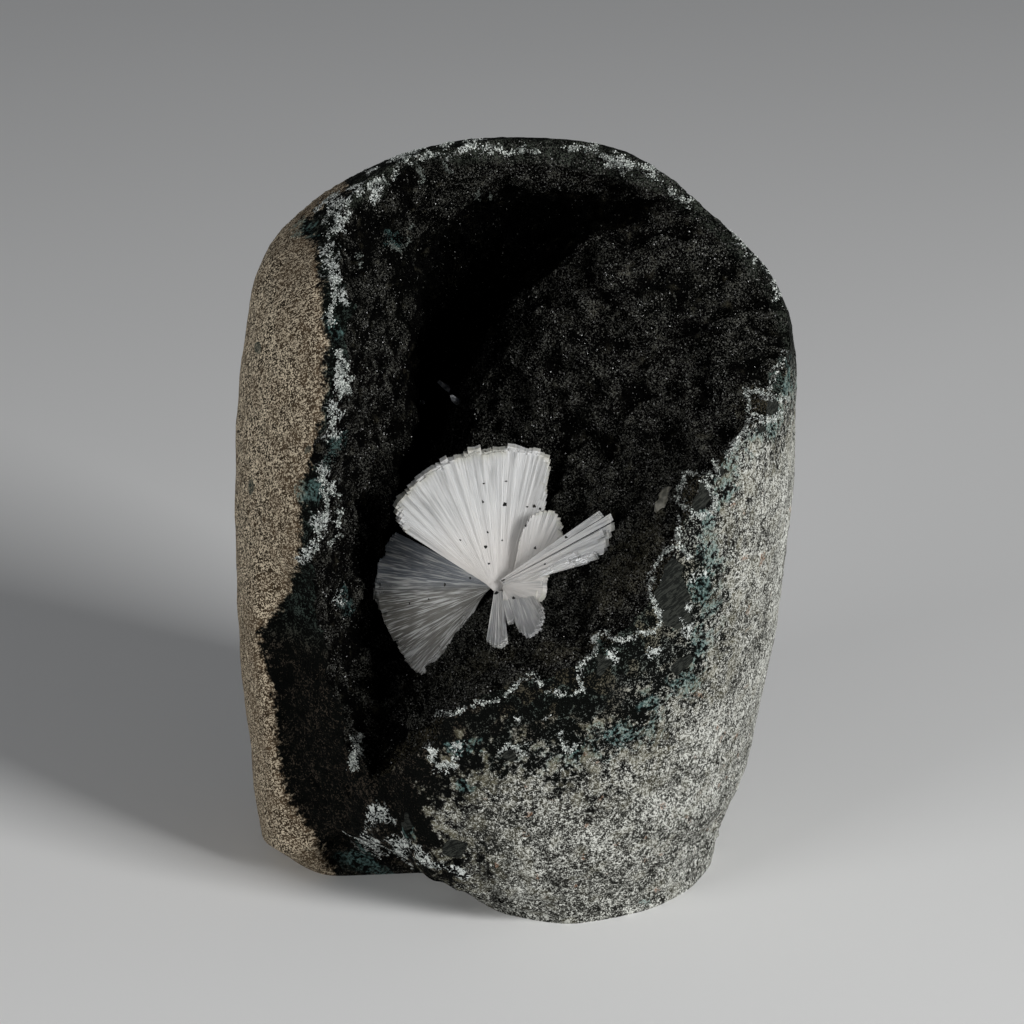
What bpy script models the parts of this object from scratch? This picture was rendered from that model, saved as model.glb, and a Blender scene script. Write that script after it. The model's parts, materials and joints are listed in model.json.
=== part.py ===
"""A sheaf of white stilbite in the vug of a worn piece of basalt.

The rock is a short, barrel-shaped column that stands on its broken foot. A large gas hole, the vug, opens
at its front and top and runs back in a deep channel. A crust of dark druse lines the vug, thick on the
left and under the roof, thin on the right, and the stilbite grows from that crust low in the middle.

The origin is the middle of the foot, +Z is up, and the vug opens towards -Y. Outlines are written in
millimetres and scaled once, so that they can be compared with a ruler on the stone.
"""

from math import cos, pi, radians, sin

import bmesh
import bpy
import numpy as np
from mathutils import Matrix, Vector, noise
from mathutils.bvhtree import BVHTree

MM = 0.001

# Driving dimensions of the column, in metres
WIDTH = 0.0852
DEPTH = 0.0830
HEIGHT = 0.1128

# Driving dimensions of the crust and of the gaps between touching pieces, in metres
CRUST_THICK = 0.0040
CRUST_THIN = 0.0014
GAP = 0.0003
RIM_INSET = 0.0004

# Driving dimensions of the stilbite, in metres
MAIN_FAN_REACH = 0.0207
SIDE_FAN_REACH = 0.0176
ROUND_BLADE_REACH = 0.0118
RIGHT_BUNDLE_REACH = 0.0184
FRONT_FAN_REACH = 0.0065

# The outlines below are drawn in millimetres on a stone of this size, and stretched to the one above
DRAWN_SIZE = (85.2, 83.0, 112.8)
STRETCH = Vector((WIDTH / DRAWN_SIZE[0], DEPTH / DRAWN_SIZE[1], HEIGHT / DRAWN_SIZE[2]))

# How finely the shapes are divided: sides of the column, and steps between the vug's outline points and
# millimetres between its rings, for the walls that show and for those that the crust hides
COLUMN_SIDES = 56
SHOWN_DIVISION = (3, 4.0)
HIDDEN_DIVISION = (2, 5.0)
LUMP_SEED = Vector((11.3, 4.7, 29.1))

# The column at each height z: how far it reaches to the left, right, front and back of its axis
COLUMN_HEIGHTS = (
    (0, 39.4, 33.4, 34.6, 37.0),
    (6, 40.1, 34.4, 37.0, 38.6),
    (16, 40.8, 36.8, 38.8, 39.8),
    (30, 41.8, 39.4, 40.4, 40.8),
    (45, 42.2, 41.7, 41.4, 41.4),
    (60, 41.9, 43.0, 41.8, 41.6),
    (75, 40.8, 43.0, 41.6, 41.2),
    (84, 39.9, 42.2, 41.0, 39.0),
    (90, 39.0, 39.8, 39.6, 36.4),
    (95, 36.9, 35.6, 37.0, 32.6),
    (99.5, 32.6, 30.6, 33.4, 27.6),
    (104, 27.0, 26.4, 28.0, 20.8),
    (108, 20.4, 21.2, 21.6, 12.6),
    (110.5, 14.6, 16.8, 15.6, 7.4),
    (112, 9.4, 11.6, 9.0, 3.6),
)
COLUMN_RINGS = (0, 3, 7, 13, 20, 27, 34, 41, 48, 55, 62, 69, 76, 82, 87, 91, 95, 99, 103, 106.5, 109.5, 112)
COLUMN_SQUARENESS = 2.12
CROWN_SHARE = 0.45
CROWN_RISE = 0.7

# The broken foot, by compass angle from +X through +Y: how high the lower edge is lifted, and what share
# of the column's reach still stands on the ground
FOOT_EDGE = (
    (0, 1.5, 0.95),
    (60, 2.0, 0.93),
    (120, 2.5, 0.92),
    (175, 1.5, 0.95),
    (205, 5.0, 0.84),
    (228, 10.5, 0.56),
    (250, 6.5, 0.62),
    (270, 2.2, 0.84),
    (288, 0.6, 0.96),
    (308, 0.6, 0.97),
    (325, 0.8, 0.97),
    (345, 1.2, 0.96),
)
FOOT_FADE = 38.0

# The scar on the front left, where the ground skin of the column has broken away beside the vug
SCAR_ANGLES = (207, 214, 240, 250)
SCAR_HEIGHTS = (2, 9, 50, 58)
SCAR_DEPTH = 2.8

# The vug as (x, z) outlines in planes of constant y, each read from the floor up the left wall, over the
# roof and down the right slope. Where an outline passes outside the column the vug is open.
VUG_MOUTH = ((-21, 27), (-24, 31), (-30, 42), (-33.5, 56), (-32.5, 70), (-30, 85), (-28.5, 97), (-33, 114),
             (-5, 134), (40, 130), (66, 104), (52, 79), (34, 72), (26.5, 64), (21, 52.5), (11, 45.5),
             (-5, 40))
VUG_OUTLINES = (
    (-72, VUG_MOUTH),
    (-45, VUG_MOUTH),
    (-30, ((-19, 24), (-22.5, 27.5), (-27, 38.5), (-29, 54), (-27.3, 68), (-23.8, 84), (-22.8, 95),
           (-28, 111), (-5, 134), (40, 130), (66, 104), (52, 82), (33, 74), (25, 68), (18.5, 58.5),
           (9, 49.5), (-5, 41))),
    (-15, ((-18, 31), (-22.5, 34), (-25, 41), (-24.5, 54), (-23.2, 68), (-21.2, 84), (-21, 95),
           (-26, 108), (-5, 134), (40, 130), (66, 104), (50, 84), (37, 81), (28, 77.5), (18, 68.5),
           (8, 58.5), (-5, 46))),
    (-4, ((-18, 37), (-22, 40), (-23, 46), (-22, 54), (-20.8, 68), (-19.2, 84), (-19.2, 96), (-22, 108),
          (-4, 119), (16, 118), (50, 109), (52, 90), (38, 89.5), (27, 86.5), (16, 78.5), (6, 69),
          (-4, 54))),
    (3, ((-18, 41), (-21, 44), (-21, 50), (-20, 56), (-18.8, 70), (-17.6, 86), (-16.6, 97), (-13, 103),
         (-2, 106.5), (14, 106.5), (31, 105.5), (47, 101), (38, 96), (27, 95.5), (15, 91.5), (4, 82),
         (-6, 64))),
    (10, ((-18, 44), (-19, 49), (-18.4, 55), (-17.4, 62), (-16.5, 74), (-15.8, 86), (-14.2, 94),
          (-9, 99.5), (0, 102.5), (10, 103), (17, 102), (21, 99.8), (19.5, 96.8), (15, 94.5), (8, 90.5),
          (0, 82), (-9, 66))),
    (20, ((-16.5, 42), (-17, 50), (-16.2, 58), (-15.2, 66), (-14.4, 76), (-13.6, 84), (-12, 90),
          (-8, 94.5), (0, 97.5), (7, 98), (11, 97), (13, 95), (11.5, 92.5), (8, 90), (2, 85.5),
          (-4, 77), (-11, 62))),
    (27, ((-15, 56), (-15.4, 61), (-15, 66), (-14.4, 71), (-13.8, 77), (-13, 83), (-12, 87),
          (-9.5, 90.5), (-6, 92), (-3, 92.5), (-1, 91.5), (0, 89.5), (-1, 87.3), (-3, 85), (-5.5, 81),
          (-8.5, 74), (-12, 64))),
    (31, ((-12.5, 68), (-12.8, 70), (-12.6, 72), (-12.3, 74.5), (-12, 77), (-11.7, 79.5), (-11.2, 81.5),
          (-10, 83), (-8.5, 84), (-7.3, 84.2), (-6.5, 83.7), (-6, 82.8), (-6.4, 81.6), (-7.2, 80.3),
          (-8.3, 78.5), (-9.6, 75.5), (-11.2, 71.5))),
)

# The sheaf is described as the viewer sees it, from the front and this far above the horizon
VIEW_ELEVATION = radians(20)
RIGHTWARD = Vector((1, 0, 0))
UPWARD = Vector((0, sin(VIEW_ELEVATION), cos(VIEW_ELEVATION)))
INWARD = Vector((0, cos(VIEW_ELEVATION), -sin(VIEW_ELEVATION)))
SHEAF_ROOT = Vector((-0.0018, -0.0190, 0.0490))

# How deep a small crystal is rooted in the crust, in metres
CRYSTAL_ROOT = 0.0012

# A fan is divided along its rays at these shares of its reach, and this share of a blade's width is the
# step to its neighbour on either side
FAN_STATIONS = (0.05, 0.40, 0.75, 1.0)
BLADE_EDGE = 0.06


def clear_scene():
    """Remove the objects that a new file starts with."""
    for item in list(bpy.data.objects):
        bpy.data.objects.remove(item, do_unlink=True)


def smoothstep(value, low, high):
    """Rise smoothly from 0 at low to 1 at high."""
    share = min(max((value - low) / (high - low), 0.0), 1.0)
    return share * share * (3 - 2 * share)


def monotone_slopes(places, values):
    """Slopes at each place that keep a cubic curve from overshooting its points."""
    steps = np.diff(places)[:, None]
    chords = np.diff(values, axis=0) / steps
    slopes = np.zeros_like(values)
    slopes[0] = chords[0]
    slopes[-1] = chords[-1]
    before = chords[:-1]
    after = chords[1:]
    same_way = before * after > 0
    total = np.where(same_way, before + after, 1.0)
    slopes[1:-1] = np.where(same_way, 2 * before * after / total, 0.0)
    return slopes


def curve_at(places, values, wanted):
    """Read a smooth curve through (places, values) at the wanted places; values may be rows."""
    places = np.asarray(places, float)
    values = np.asarray(values, float)
    flat = values.reshape(len(places), -1)
    slopes = monotone_slopes(places, flat)
    wanted = np.atleast_1d(np.asarray(wanted, float))
    index = np.clip(np.searchsorted(places, wanted, side="right") - 1, 0, len(places) - 2)
    width = (places[index + 1] - places[index])[:, None]
    t = np.clip((wanted - places[index])[:, None] / width, 0, 1)
    start = (1 + 2 * t) * (1 - t) ** 2 * flat[index] + t * (1 - t) ** 2 * width * slopes[index]
    end = t * t * (3 - 2 * t) * flat[index + 1] + t * t * (t - 1) * width * slopes[index + 1]
    return (start + end).reshape((len(wanted),) + values.shape[1:])


def closed_outline(points, steps):
    """Pass a closed Catmull-Rom curve through an outline, with the same steps between all its points."""
    points = np.asarray(points, float)
    before = np.roll(points, 1, axis=0)
    after = np.roll(points, -1, axis=0)
    beyond = np.roll(points, -2, axis=0)
    rows = []
    for step in range(steps):
        t = step / steps
        rows.append(0.5 * (2 * points + (after - before) * t
                           + (2 * before - 5 * points + 4 * after - beyond) * t ** 2
                           + (3 * points - before - 3 * after + beyond) * t ** 3))
    return np.stack(rows, axis=1).reshape(-1, 2)


def mesh_object(name, vertices, faces):
    """Make an object from rows of vertices in metres, with its faces pointing out."""
    mesh = bpy.data.meshes.new(name)
    mesh.from_pydata([tuple(vertex) for vertex in vertices], [], faces)
    work = bmesh.new()
    work.from_mesh(mesh)
    bmesh.ops.recalc_face_normals(work, faces=work.faces)
    bmesh.ops.triangulate(work, faces=work.faces)
    work.to_mesh(mesh)
    work.free()
    item = bpy.data.objects.new(name, mesh)
    bpy.context.collection.objects.link(item)
    return item


def loft(name, rings):
    """Skin closed rings, drawn in millimetres, into one closed body with a fan at each end."""
    rings = np.asarray(rings, float) * np.array(STRETCH)
    count, sides, _ = rings.shape
    vertices = list(rings.reshape(-1, 3))
    faces = []
    for ring in range(count - 1):
        for side in range(sides):
            after = (side + 1) % sides
            low = ring * sides
            high = low + sides
            faces.append((low + side, low + after, high + after, high + side))
    first_hub = len(vertices)
    vertices.append(rings[0].mean(axis=0))
    vertices.append(rings[-1].mean(axis=0))
    for side in range(sides):
        after = (side + 1) % sides
        faces.append((first_hub, after, side))
        faces.append((first_hub + 1, (count - 1) * sides + side, (count - 1) * sides + after))
    return mesh_object(name, vertices, faces)


def combine(target, other, operation):
    """Join, cut or intersect two closed bodies, and drop the second one."""
    modifier = target.modifiers.new("combine", "BOOLEAN")
    modifier.operation = operation
    modifier.solver = "EXACT"
    modifier.object = other
    graph = bpy.context.evaluated_depsgraph_get()
    mesh = bpy.data.meshes.new_from_object(target.evaluated_get(graph))
    target.modifiers.clear()
    old = target.data
    target.data = mesh
    bpy.data.meshes.remove(old)
    bpy.data.objects.remove(other, do_unlink=True)
    return target


def keep_largest(item):
    """Keep the largest connected body of a mesh and drop the crumbs that a cut leaves."""
    work = bmesh.new()
    work.from_mesh(item.data)
    work.faces.ensure_lookup_table()
    unseen = set(work.faces)
    bodies = []
    while unseen:
        stack = [unseen.pop()]
        body = []
        while stack:
            face = stack.pop()
            body.append(face)
            for edge in face.edges:
                for neighbour in edge.link_faces:
                    if neighbour in unseen:
                        unseen.remove(neighbour)
                        stack.append(neighbour)
        bodies.append(body)
    bodies.sort(key=lambda body: sum(face.calc_area() for face in body))
    for body in bodies[:-1]:
        bmesh.ops.delete(work, geom=body, context="FACES")
    bmesh.ops.triangulate(work, faces=work.faces)
    work.to_mesh(item.data)
    work.free()
    return item


def foot_at(angle):
    """Lift of the lower edge and share of the reach that touches the ground, at a compass angle."""
    angles = [row[0] for row in FOOT_EDGE] + [360 + FOOT_EDGE[0][0]]
    rows = [row[1:] for row in FOOT_EDGE] + [FOOT_EDGE[0][1:]]
    return curve_at(angles, rows, angle % 360)[0]


def scar_depth(angle, height):
    """Depth of the scar on the front left, in millimetres."""
    sides = smoothstep(angle, *SCAR_ANGLES[:2]) * (1 - smoothstep(angle, *SCAR_ANGLES[2:]))
    ends = smoothstep(height, *SCAR_HEIGHTS[:2]) * (1 - smoothstep(height, *SCAR_HEIGHTS[2:]))
    return SCAR_DEPTH * sides * ends


def column_point(angle, height, inset):
    """One point of the column's skin at a compass angle in degrees and a height; the inset is inwards."""
    left, right, front, back = curve_at([row[0] for row in COLUMN_HEIGHTS],
                                        [row[1:] for row in COLUMN_HEIGHTS], height)[0]
    lift, _ = foot_at(angle)
    across = cos(radians(angle))
    along = sin(radians(angle))
    reach_x = right if across > 0 else left
    reach_y = back if along > 0 else front
    norm = (abs(across / reach_x) ** COLUMN_SQUARENESS
            + abs(along / reach_y) ** COLUMN_SQUARENESS) ** (-1 / COLUMN_SQUARENESS)
    raised = height + lift * max(0.0, 1 - height / FOOT_FADE) ** 2
    place = Vector((norm * across, norm * along, raised))
    worn = 0.5 * noise.noise(place * 0.06 + LUMP_SEED) + 0.25 * noise.noise(place * 0.15 + LUMP_SEED)
    radius = norm - inset + worn - scar_depth(angle, raised)
    return radius * across, radius * along, raised


def column_body(name, inset=0.0):
    """The whole column before the vug opens it, from its foot to its crown."""
    angles = [360 * side / COLUMN_SIDES for side in range(COLUMN_SIDES)]
    edge = [column_point(angle, 0.0, inset) for angle in angles]
    shares = [foot_at(angle)[1] for angle in angles]
    rings = [[(x * share, y * share, inset) for (x, y, _), share in zip(edge, shares)]]
    rings += [[column_point(angle, height, inset) for angle in angles] for height in COLUMN_RINGS]
    rings.append([(x * CROWN_SHARE, y * CROWN_SHARE, z + CROWN_RISE - inset) for x, y, z in rings[-1]])
    return loft(name, rings)


def crust_thickness(place):
    """Thickness of the druse crust, in metres: thick at the left and under the front of the roof."""
    left = 1 - smoothstep(place.x, -17, -8)
    roof = smoothstep(place.z, 98, 104) * (1 - smoothstep(place.x, 16, 27))
    front = 1 - smoothstep(place.y, 0, 11)
    return CRUST_THIN + (CRUST_THICK - CRUST_THIN) * max(left, 0.6 * roof) * front


def wall_lumps(place, fine):
    """How far the vug's wall bulges, in metres: bubbles that ran together, and finer grit where asked."""
    point = place + LUMP_SEED
    bubbles = noise.voronoi(point * 0.105)[0][0]
    swells = noise.noise(point * 0.07)
    grit = noise.noise(point * 0.3) if fine else 0.0
    left = 1 - smoothstep(place.x, -14, -4)
    return (left * 1.9 * (bubbles - 0.45) + 0.9 * swells + 0.45 * grit) * MM


def vug_body(name, division, with_crust, clearance):
    """The vug as a solid: its open space, or that and the crust's thickness, less a clearance."""
    steps, spacing = division
    planes = [row[0] for row in VUG_OUTLINES]
    outlines = [closed_outline(row[1], steps) for row in VUG_OUTLINES]
    depths = [planes[0]] + list(np.arange(planes[1], planes[-1] - spacing / 2, spacing)) + [planes[-1]]
    rings = []
    for depth, outline in zip(depths, curve_at(planes, outlines, depths)):
        rings.append([(x, depth, z) for x, z in outline])
    item = loft(name, rings)
    normals = [vertex.normal.copy() for vertex in item.data.vertices]
    for vertex, normal in zip(item.data.vertices, normals):
        drawn = Vector(part / scale for part, scale in zip(vertex.co, STRETCH))
        crust = crust_thickness(drawn) if with_crust else 0.0
        vertex.co = vertex.co + normal * (crust - clearance + wall_lumps(drawn, fine=not with_crust))
    return item


def open_space(clearance):
    """The open space of the vug inside its crust, less a clearance."""
    return vug_body("open_space", SHOWN_DIVISION, with_crust=False, clearance=clearance)


def material(name, colour, roughness, metallic=0.0):
    """A plain surface with its colour, roughness and metallic value."""
    finish = bpy.data.materials.new(name)
    finish.use_nodes = True
    shader = finish.node_tree.nodes["Principled BSDF"]
    shader.inputs["Base Color"].default_value = (*colour, 1)
    shader.inputs["Roughness"].default_value = roughness
    shader.inputs["Metallic"].default_value = metallic
    finish.diffuse_color = (*colour, 1)
    return finish


def make_basalt():
    """The rock: the column with the vug and the room for its crust taken out."""
    rock = column_body("basalt")
    combine(rock, vug_body("vug_cut", HIDDEN_DIVISION, with_crust=True, clearance=0.0), "DIFFERENCE")
    keep_largest(rock)
    rock.data.materials.append(material("basalt", (0.17, 0.165, 0.145), 0.85))
    return rock


def make_lining():
    """The crust between the rock and the open vug, ending just inside the column's skin."""
    crust = vug_body("vug_lining", HIDDEN_DIVISION, with_crust=True, clearance=GAP)
    combine(crust, column_body("skin", inset=RIM_INSET / MM), "INTERSECT")
    combine(crust, open_space(clearance=0.0), "DIFFERENCE")
    keep_largest(crust)
    crust.data.materials.append(material("druse", (0.02, 0.021, 0.018), 0.6))
    return crust


def lath(start, tip, side, face, root_size, tip_size, slant):
    """Corners of one flat crystal blade: a bar that widens to a slanted chisel tip."""
    along = (tip - start).normalized()
    across = (side - along * side.dot(along)).normalized()
    out = (face - along * face.dot(along) - across * face.dot(across)).normalized()
    corners = []
    for end, (width, thickness), skew in ((start, root_size, 0.0), (tip, tip_size, slant)):
        for sign_across, sign_out in ((-1, -1), (1, -1), (1, 1), (-1, 1)):
            corners.append(end + across * (sign_across * width / 2) + out * (sign_out * thickness / 2)
                           + along * (sign_across * skew))
    return corners


def lath_faces(first):
    """Faces of a blade whose eight corners start at the given index."""
    quads = ((0, 3, 2, 1), (4, 5, 6, 7), (0, 1, 5, 4), (1, 2, 6, 5), (2, 3, 7, 6), (3, 0, 4, 7))
    return [tuple(first + corner for corner in quad) for quad in quads]


def fan_rays(fan):
    """Both edges of every blade of a fan: where it starts, its direction, reach, face and step outwards."""
    rays = []
    for blade in range(fan["blades"]):
        wobble = noise.noise(Vector((blade * 0.83, fan["seed"], 0.5)))
        step = cos(blade * 2.4 + fan["seed"])
        for edge in (BLADE_EDGE, 1 - BLADE_EDGE):
            share = (blade + edge) / fan["blades"]
            angle = radians(fan["from"] + (fan["to"] - fan["from"]) * share)
            flat = RIGHTWARD * cos(angle) + UPWARD * sin(angle)
            slope = fan["slope"][0] * cos(angle) + fan["slope"][1] * sin(angle) + fan.get("lean", 0.0)
            start = SHEAF_ROOT.copy()
            offset = Vector(fan["start_from"]).lerp(Vector(fan["start_to"]), share) * MM
            start += RIGHTWARD * offset.x + UPWARD * offset.y + INWARD * offset.z
            ragged = 1 + 0.035 * step + 0.05 * wobble + 0.03 * (edge - 0.5) * (1 if blade % 3 else -1)
            reach = fan["reach"] * ragged * (1 - fan.get("rounding", 0.0) * (2 * share - 1) ** 2)
            face = (flat * slope - INWARD).normalized()
            lift = 0.00022 * step + 0.00025 * wobble
            rays.append((start, flat + INWARD * slope, reach, face, lift))
    return rays


def fan_body(name, fan):
    """One fan as a closed sheet of stepped blades, thin at the root and thick at its ragged rim."""
    rays = fan_rays(fan)
    thin, thick = fan["thickness"]
    count = len(rays)
    stations = len(FAN_STATIONS)
    vertices = []
    for sign in (1, -1):
        for start, direction, reach, face, lift in rays:
            for share in FAN_STATIONS:
                half = (thin + (thick - thin) * share ** 1.5) / 2
                vertices.append(start + direction * (reach * share) + face * (lift * share + sign * half))

    def corner(side, ray, station):
        return side * count * stations + ray * stations + station

    faces = []
    for ray in range(count - 1):
        for station in range(stations - 1):
            for side in (0, 1):
                faces.append((corner(side, ray, station), corner(side, ray + 1, station),
                              corner(side, ray + 1, station + 1), corner(side, ray, station + 1)))
        for station in (0, stations - 1):
            faces.append((corner(0, ray, station), corner(0, ray + 1, station),
                          corner(1, ray + 1, station), corner(1, ray, station)))
    for station in range(stations - 1):
        for ray in (0, count - 1):
            faces.append((corner(0, ray, station), corner(0, ray, station + 1),
                          corner(1, ray, station + 1), corner(1, ray, station)))
    return mesh_object(name, vertices, faces)


def sheaf_fans():
    """The five fans of the sheaf: angles are seen from the front, counted from the right through up."""
    main = {"from": 139, "to": 77, "blades": 13, "reach": MAIN_FAN_REACH, "slope": (0.06, 0.10), "seed": 1.7,
            "start_from": (-1.6, 0.6, -0.4), "start_to": (2.8, 1.2, -0.4), "thickness": (0.0014, 0.0023)}
    side = {"from": 147, "to": 229, "blades": 15, "reach": SIDE_FAN_REACH, "slope": (-0.50, -0.10),
            "seed": 5.2, "start_from": (-0.6, 0.4, 0.2), "start_to": (-0.4, -1.0, 0.2),
            "thickness": (0.0013, 0.0019)}
    rounded = {"from": 72, "to": 50, "blades": 4, "reach": ROUND_BLADE_REACH, "slope": (-0.20, 0.0),
               "seed": 8.9, "start_from": (1.4, 0.0, -1.9), "start_to": (3.2, -0.3, -1.9), "rounding": 0.16,
               "thickness": (0.0014, 0.0016)}
    bundle = {"from": 39, "to": 15, "blades": 6, "reach": RIGHT_BUNDLE_REACH, "slope": (-0.48, 0.0),
              "seed": 3.1, "start_from": (0.2, 1.0, -1.2), "start_to": (0.8, -0.8, -1.2), "rounding": 0.10,
              "thickness": (0.0016, 0.0018)}
    front = {"from": -22, "to": -98, "blades": 6, "reach": FRONT_FAN_REACH, "slope": (-0.35, 0.35),
             "lean": -0.75, "seed": 6.4, "start_from": (0.8, -0.6, -0.8), "start_to": (-0.6, -0.6, -0.8),
             "thickness": (0.0012, 0.0014)}
    return main, side, rounded, bundle, front


def sheaf_stub():
    """The stub that carries the fans and runs down into the druse behind them."""
    axis = Vector((0.05, 0.35, -0.94)).normalized()
    side = axis.cross(INWARD).normalized()
    other = axis.cross(side)
    rings = []
    for level, radius in ((-1.9, 0.9), (-1.2, 1.6), (0.4, 1.9), (5.5, 2.3)):
        ring = []
        for turn in range(9):
            angle = 2 * pi * (turn + 0.3) / 9
            point = SHEAF_ROOT + (axis * level + (side * cos(angle) + other * sin(angle)) * radius) * MM
            ring.append([part / scale for part, scale in zip(point, STRETCH)])
        rings.append(ring)
    return loft("stilbite", rings)


def make_stilbite():
    """The sheaf: five fans grown into one body on a stub, kept clear of the druse."""
    sheaf = sheaf_stub()
    for number, fan in enumerate(sheaf_fans()):
        combine(sheaf, fan_body("fan_%d" % number, fan), "UNION")
    combine(sheaf, open_space(clearance=GAP), "INTERSECT")
    keep_largest(sheaf)
    sheaf.data.materials.append(material("stilbite", (0.80, 0.77, 0.72), 0.45))
    return sheaf


def surface_tree(item):
    """A search tree of an object's faces."""
    graph = bpy.context.evaluated_depsgraph_get()
    return BVHTree.FromObject(item, graph)


def crystal_on_wall(name, tree, seen_from, towards, length, width, thickness, turn):
    """A small blade that stands on the crust where a line of sight meets it."""
    place, normal, _, _ = tree.ray_cast(seen_from, towards)
    if normal.dot(towards) > 0:
        normal = -normal
    axis = (normal * 0.6 - towards * 0.5 + UPWARD * 0.25).normalized()
    side = axis.cross(Vector((sin(turn), 0.3, cos(turn)))).normalized()
    face = axis.cross(side).normalized()
    start = place - axis * CRYSTAL_ROOT
    corners = lath(start, start + axis * (length + CRYSTAL_ROOT), side, face,
                   (width, thickness), (width * 0.8, thickness * 0.8), width * 0.22)
    item = mesh_object(name, corners, lath_faces(0))
    combine(item, open_space(clearance=GAP), "INTERSECT")
    return keep_largest(item)


def make_channel_crystals(tree):
    """Three small clear blades in the deep channel behind the sheaf."""
    finish = material("clear_crystal", (0.55, 0.57, 0.55), 0.25)
    sights = (("channel_crystal_left", Vector((-0.0146, -0.02, 0.0795)), 0.0020, 0.0009, 0.3),
              ("channel_crystal_middle", Vector((-0.0096, -0.02, 0.0815)), 0.0026, 0.0012, 1.1),
              ("channel_crystal_right", Vector((-0.0080, -0.02, 0.0790)), 0.0021, 0.0010, 1.9))
    for name, seen_from, length, width, turn in sights:
        item = crystal_on_wall(name, tree, seen_from, INWARD, length, width, width * 0.6, turn)
        item.data.materials.append(finish)


def make_pale_crystal(tree):
    """The smooth beige crystal that lies in the druse near the right rim."""
    length, width, height = 0.0050, 0.0034, 0.0022
    place, normal, _, _ = tree.ray_cast(Vector((0.0223, -0.060, 0.0775)), INWARD)
    if normal.dot(INWARD) > 0:
        normal = -normal
    along = (UPWARD - normal * UPWARD.dot(normal)).normalized()
    across = along.cross(normal).normalized()
    rings = []
    for level, share in ((-0.5, 1.0), (0.0, 1.0), (0.30, 0.86), (0.5, 0.5)):
        ring = []
        for side in range(8):
            angle = 2 * pi * (side + 0.5) / 8
            ring.append(place + along * (length / 2 * share * cos(angle))
                        + across * (width / 2 * share * sin(angle)) + normal * (level * height))
        rings.append([[part / scale for part, scale in zip(point, STRETCH)] for point in ring])
    item = loft("pale_crystal", rings)
    combine(item, open_space(clearance=GAP), "INTERSECT")
    keep_largest(item)
    item.data.materials.append(material("pale_crystal", (0.42, 0.36, 0.27), 0.3))
    return item


def centre_on_foot(rock):
    """Move every piece so that the origin is the middle of the rock's footprint, on the ground."""
    corners = np.array([tuple(vertex.co) for vertex in rock.data.vertices])
    low = corners.min(axis=0)
    high = corners.max(axis=0)
    shift = Vector((-(low[0] + high[0]) / 2, -(low[1] + high[1]) / 2, -low[2]))
    for item in bpy.data.objects:
        item.data.transform(Matrix.Translation(shift))


def main():
    """Build every piece of the specimen."""
    clear_scene()
    rock = make_basalt()
    lining = make_lining()
    tree = surface_tree(lining)
    make_stilbite()
    make_channel_crystals(tree)
    make_pale_crystal(tree)
    centre_on_foot(rock)


main()
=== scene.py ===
# %% [markdown]
# # A sheaf of stilbite in the vug of a worn stone
# The stone is a short, barrel-shaped column of basalt. A large gas hole, the vug, opens at its front and
# top. A thin crust of almost black druse lines the vug, and a white sheaf of stilbite grows out of that
# crust. This file dresses the plain solids with fine shapes and finishes. It goes from the large to the
# small: stone, crust, sheaf, then the grains that lie on them, and last the floor and the light.

# %% Load the plain solids
import json
from math import ceil, cos, pi, radians, sin
from types import SimpleNamespace

import bmesh
import bpy
import numpy as np
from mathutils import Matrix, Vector, noise
from mathutils.bvhtree import BVHTree

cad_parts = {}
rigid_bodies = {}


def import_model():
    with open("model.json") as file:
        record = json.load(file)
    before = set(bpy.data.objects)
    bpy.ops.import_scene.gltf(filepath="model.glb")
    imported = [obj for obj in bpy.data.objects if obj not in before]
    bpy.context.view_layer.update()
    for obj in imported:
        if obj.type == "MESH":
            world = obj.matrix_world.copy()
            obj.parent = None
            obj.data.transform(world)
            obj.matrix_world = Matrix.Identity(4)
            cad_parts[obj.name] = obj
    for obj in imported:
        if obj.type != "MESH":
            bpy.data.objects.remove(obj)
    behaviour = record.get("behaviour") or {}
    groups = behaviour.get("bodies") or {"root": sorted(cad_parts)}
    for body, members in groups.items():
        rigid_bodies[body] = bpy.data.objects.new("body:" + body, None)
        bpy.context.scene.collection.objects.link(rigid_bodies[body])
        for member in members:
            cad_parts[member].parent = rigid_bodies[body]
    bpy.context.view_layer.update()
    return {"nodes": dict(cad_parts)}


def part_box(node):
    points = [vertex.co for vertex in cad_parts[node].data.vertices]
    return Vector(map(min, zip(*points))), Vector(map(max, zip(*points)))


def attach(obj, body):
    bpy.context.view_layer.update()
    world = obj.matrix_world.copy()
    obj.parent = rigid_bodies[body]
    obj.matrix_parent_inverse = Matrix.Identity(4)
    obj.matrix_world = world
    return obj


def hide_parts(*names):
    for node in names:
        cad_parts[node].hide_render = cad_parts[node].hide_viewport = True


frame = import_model()
stone_low, stone_high = (np.array(corner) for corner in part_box("basalt"))
print("plain stone, in millimetres:", np.round((stone_high - stone_low) * 1000, 1))

# %% [markdown]
# ## Curves that shapes are read from
# A stone has no exact geometry, but its outlines are smooth, so a few measured rows are enough if a
# smooth curve passes through them. A plain cubic would overshoot between two close rows and make a bump
# that isn't there. A monotone cubic never does, so it is used for every profile here. Places along a
# profile are then spaced evenly along the surface, not evenly in height, because a flat top would
# otherwise get far too few rings.

# %% Smooth curves and even spacing
MM = 0.001
READINGS = 1500


def smoothstep(value, low, high):
    """Rise smoothly from 0 at low to 1 at high."""
    share = np.clip((value - low) / (high - low), 0, 1)
    return share * share * (3 - 2 * share)


def fade(value, low, high):
    """Fall smoothly from 1 at low to 0 at high."""
    return 1 - smoothstep(value, low, high)


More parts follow.
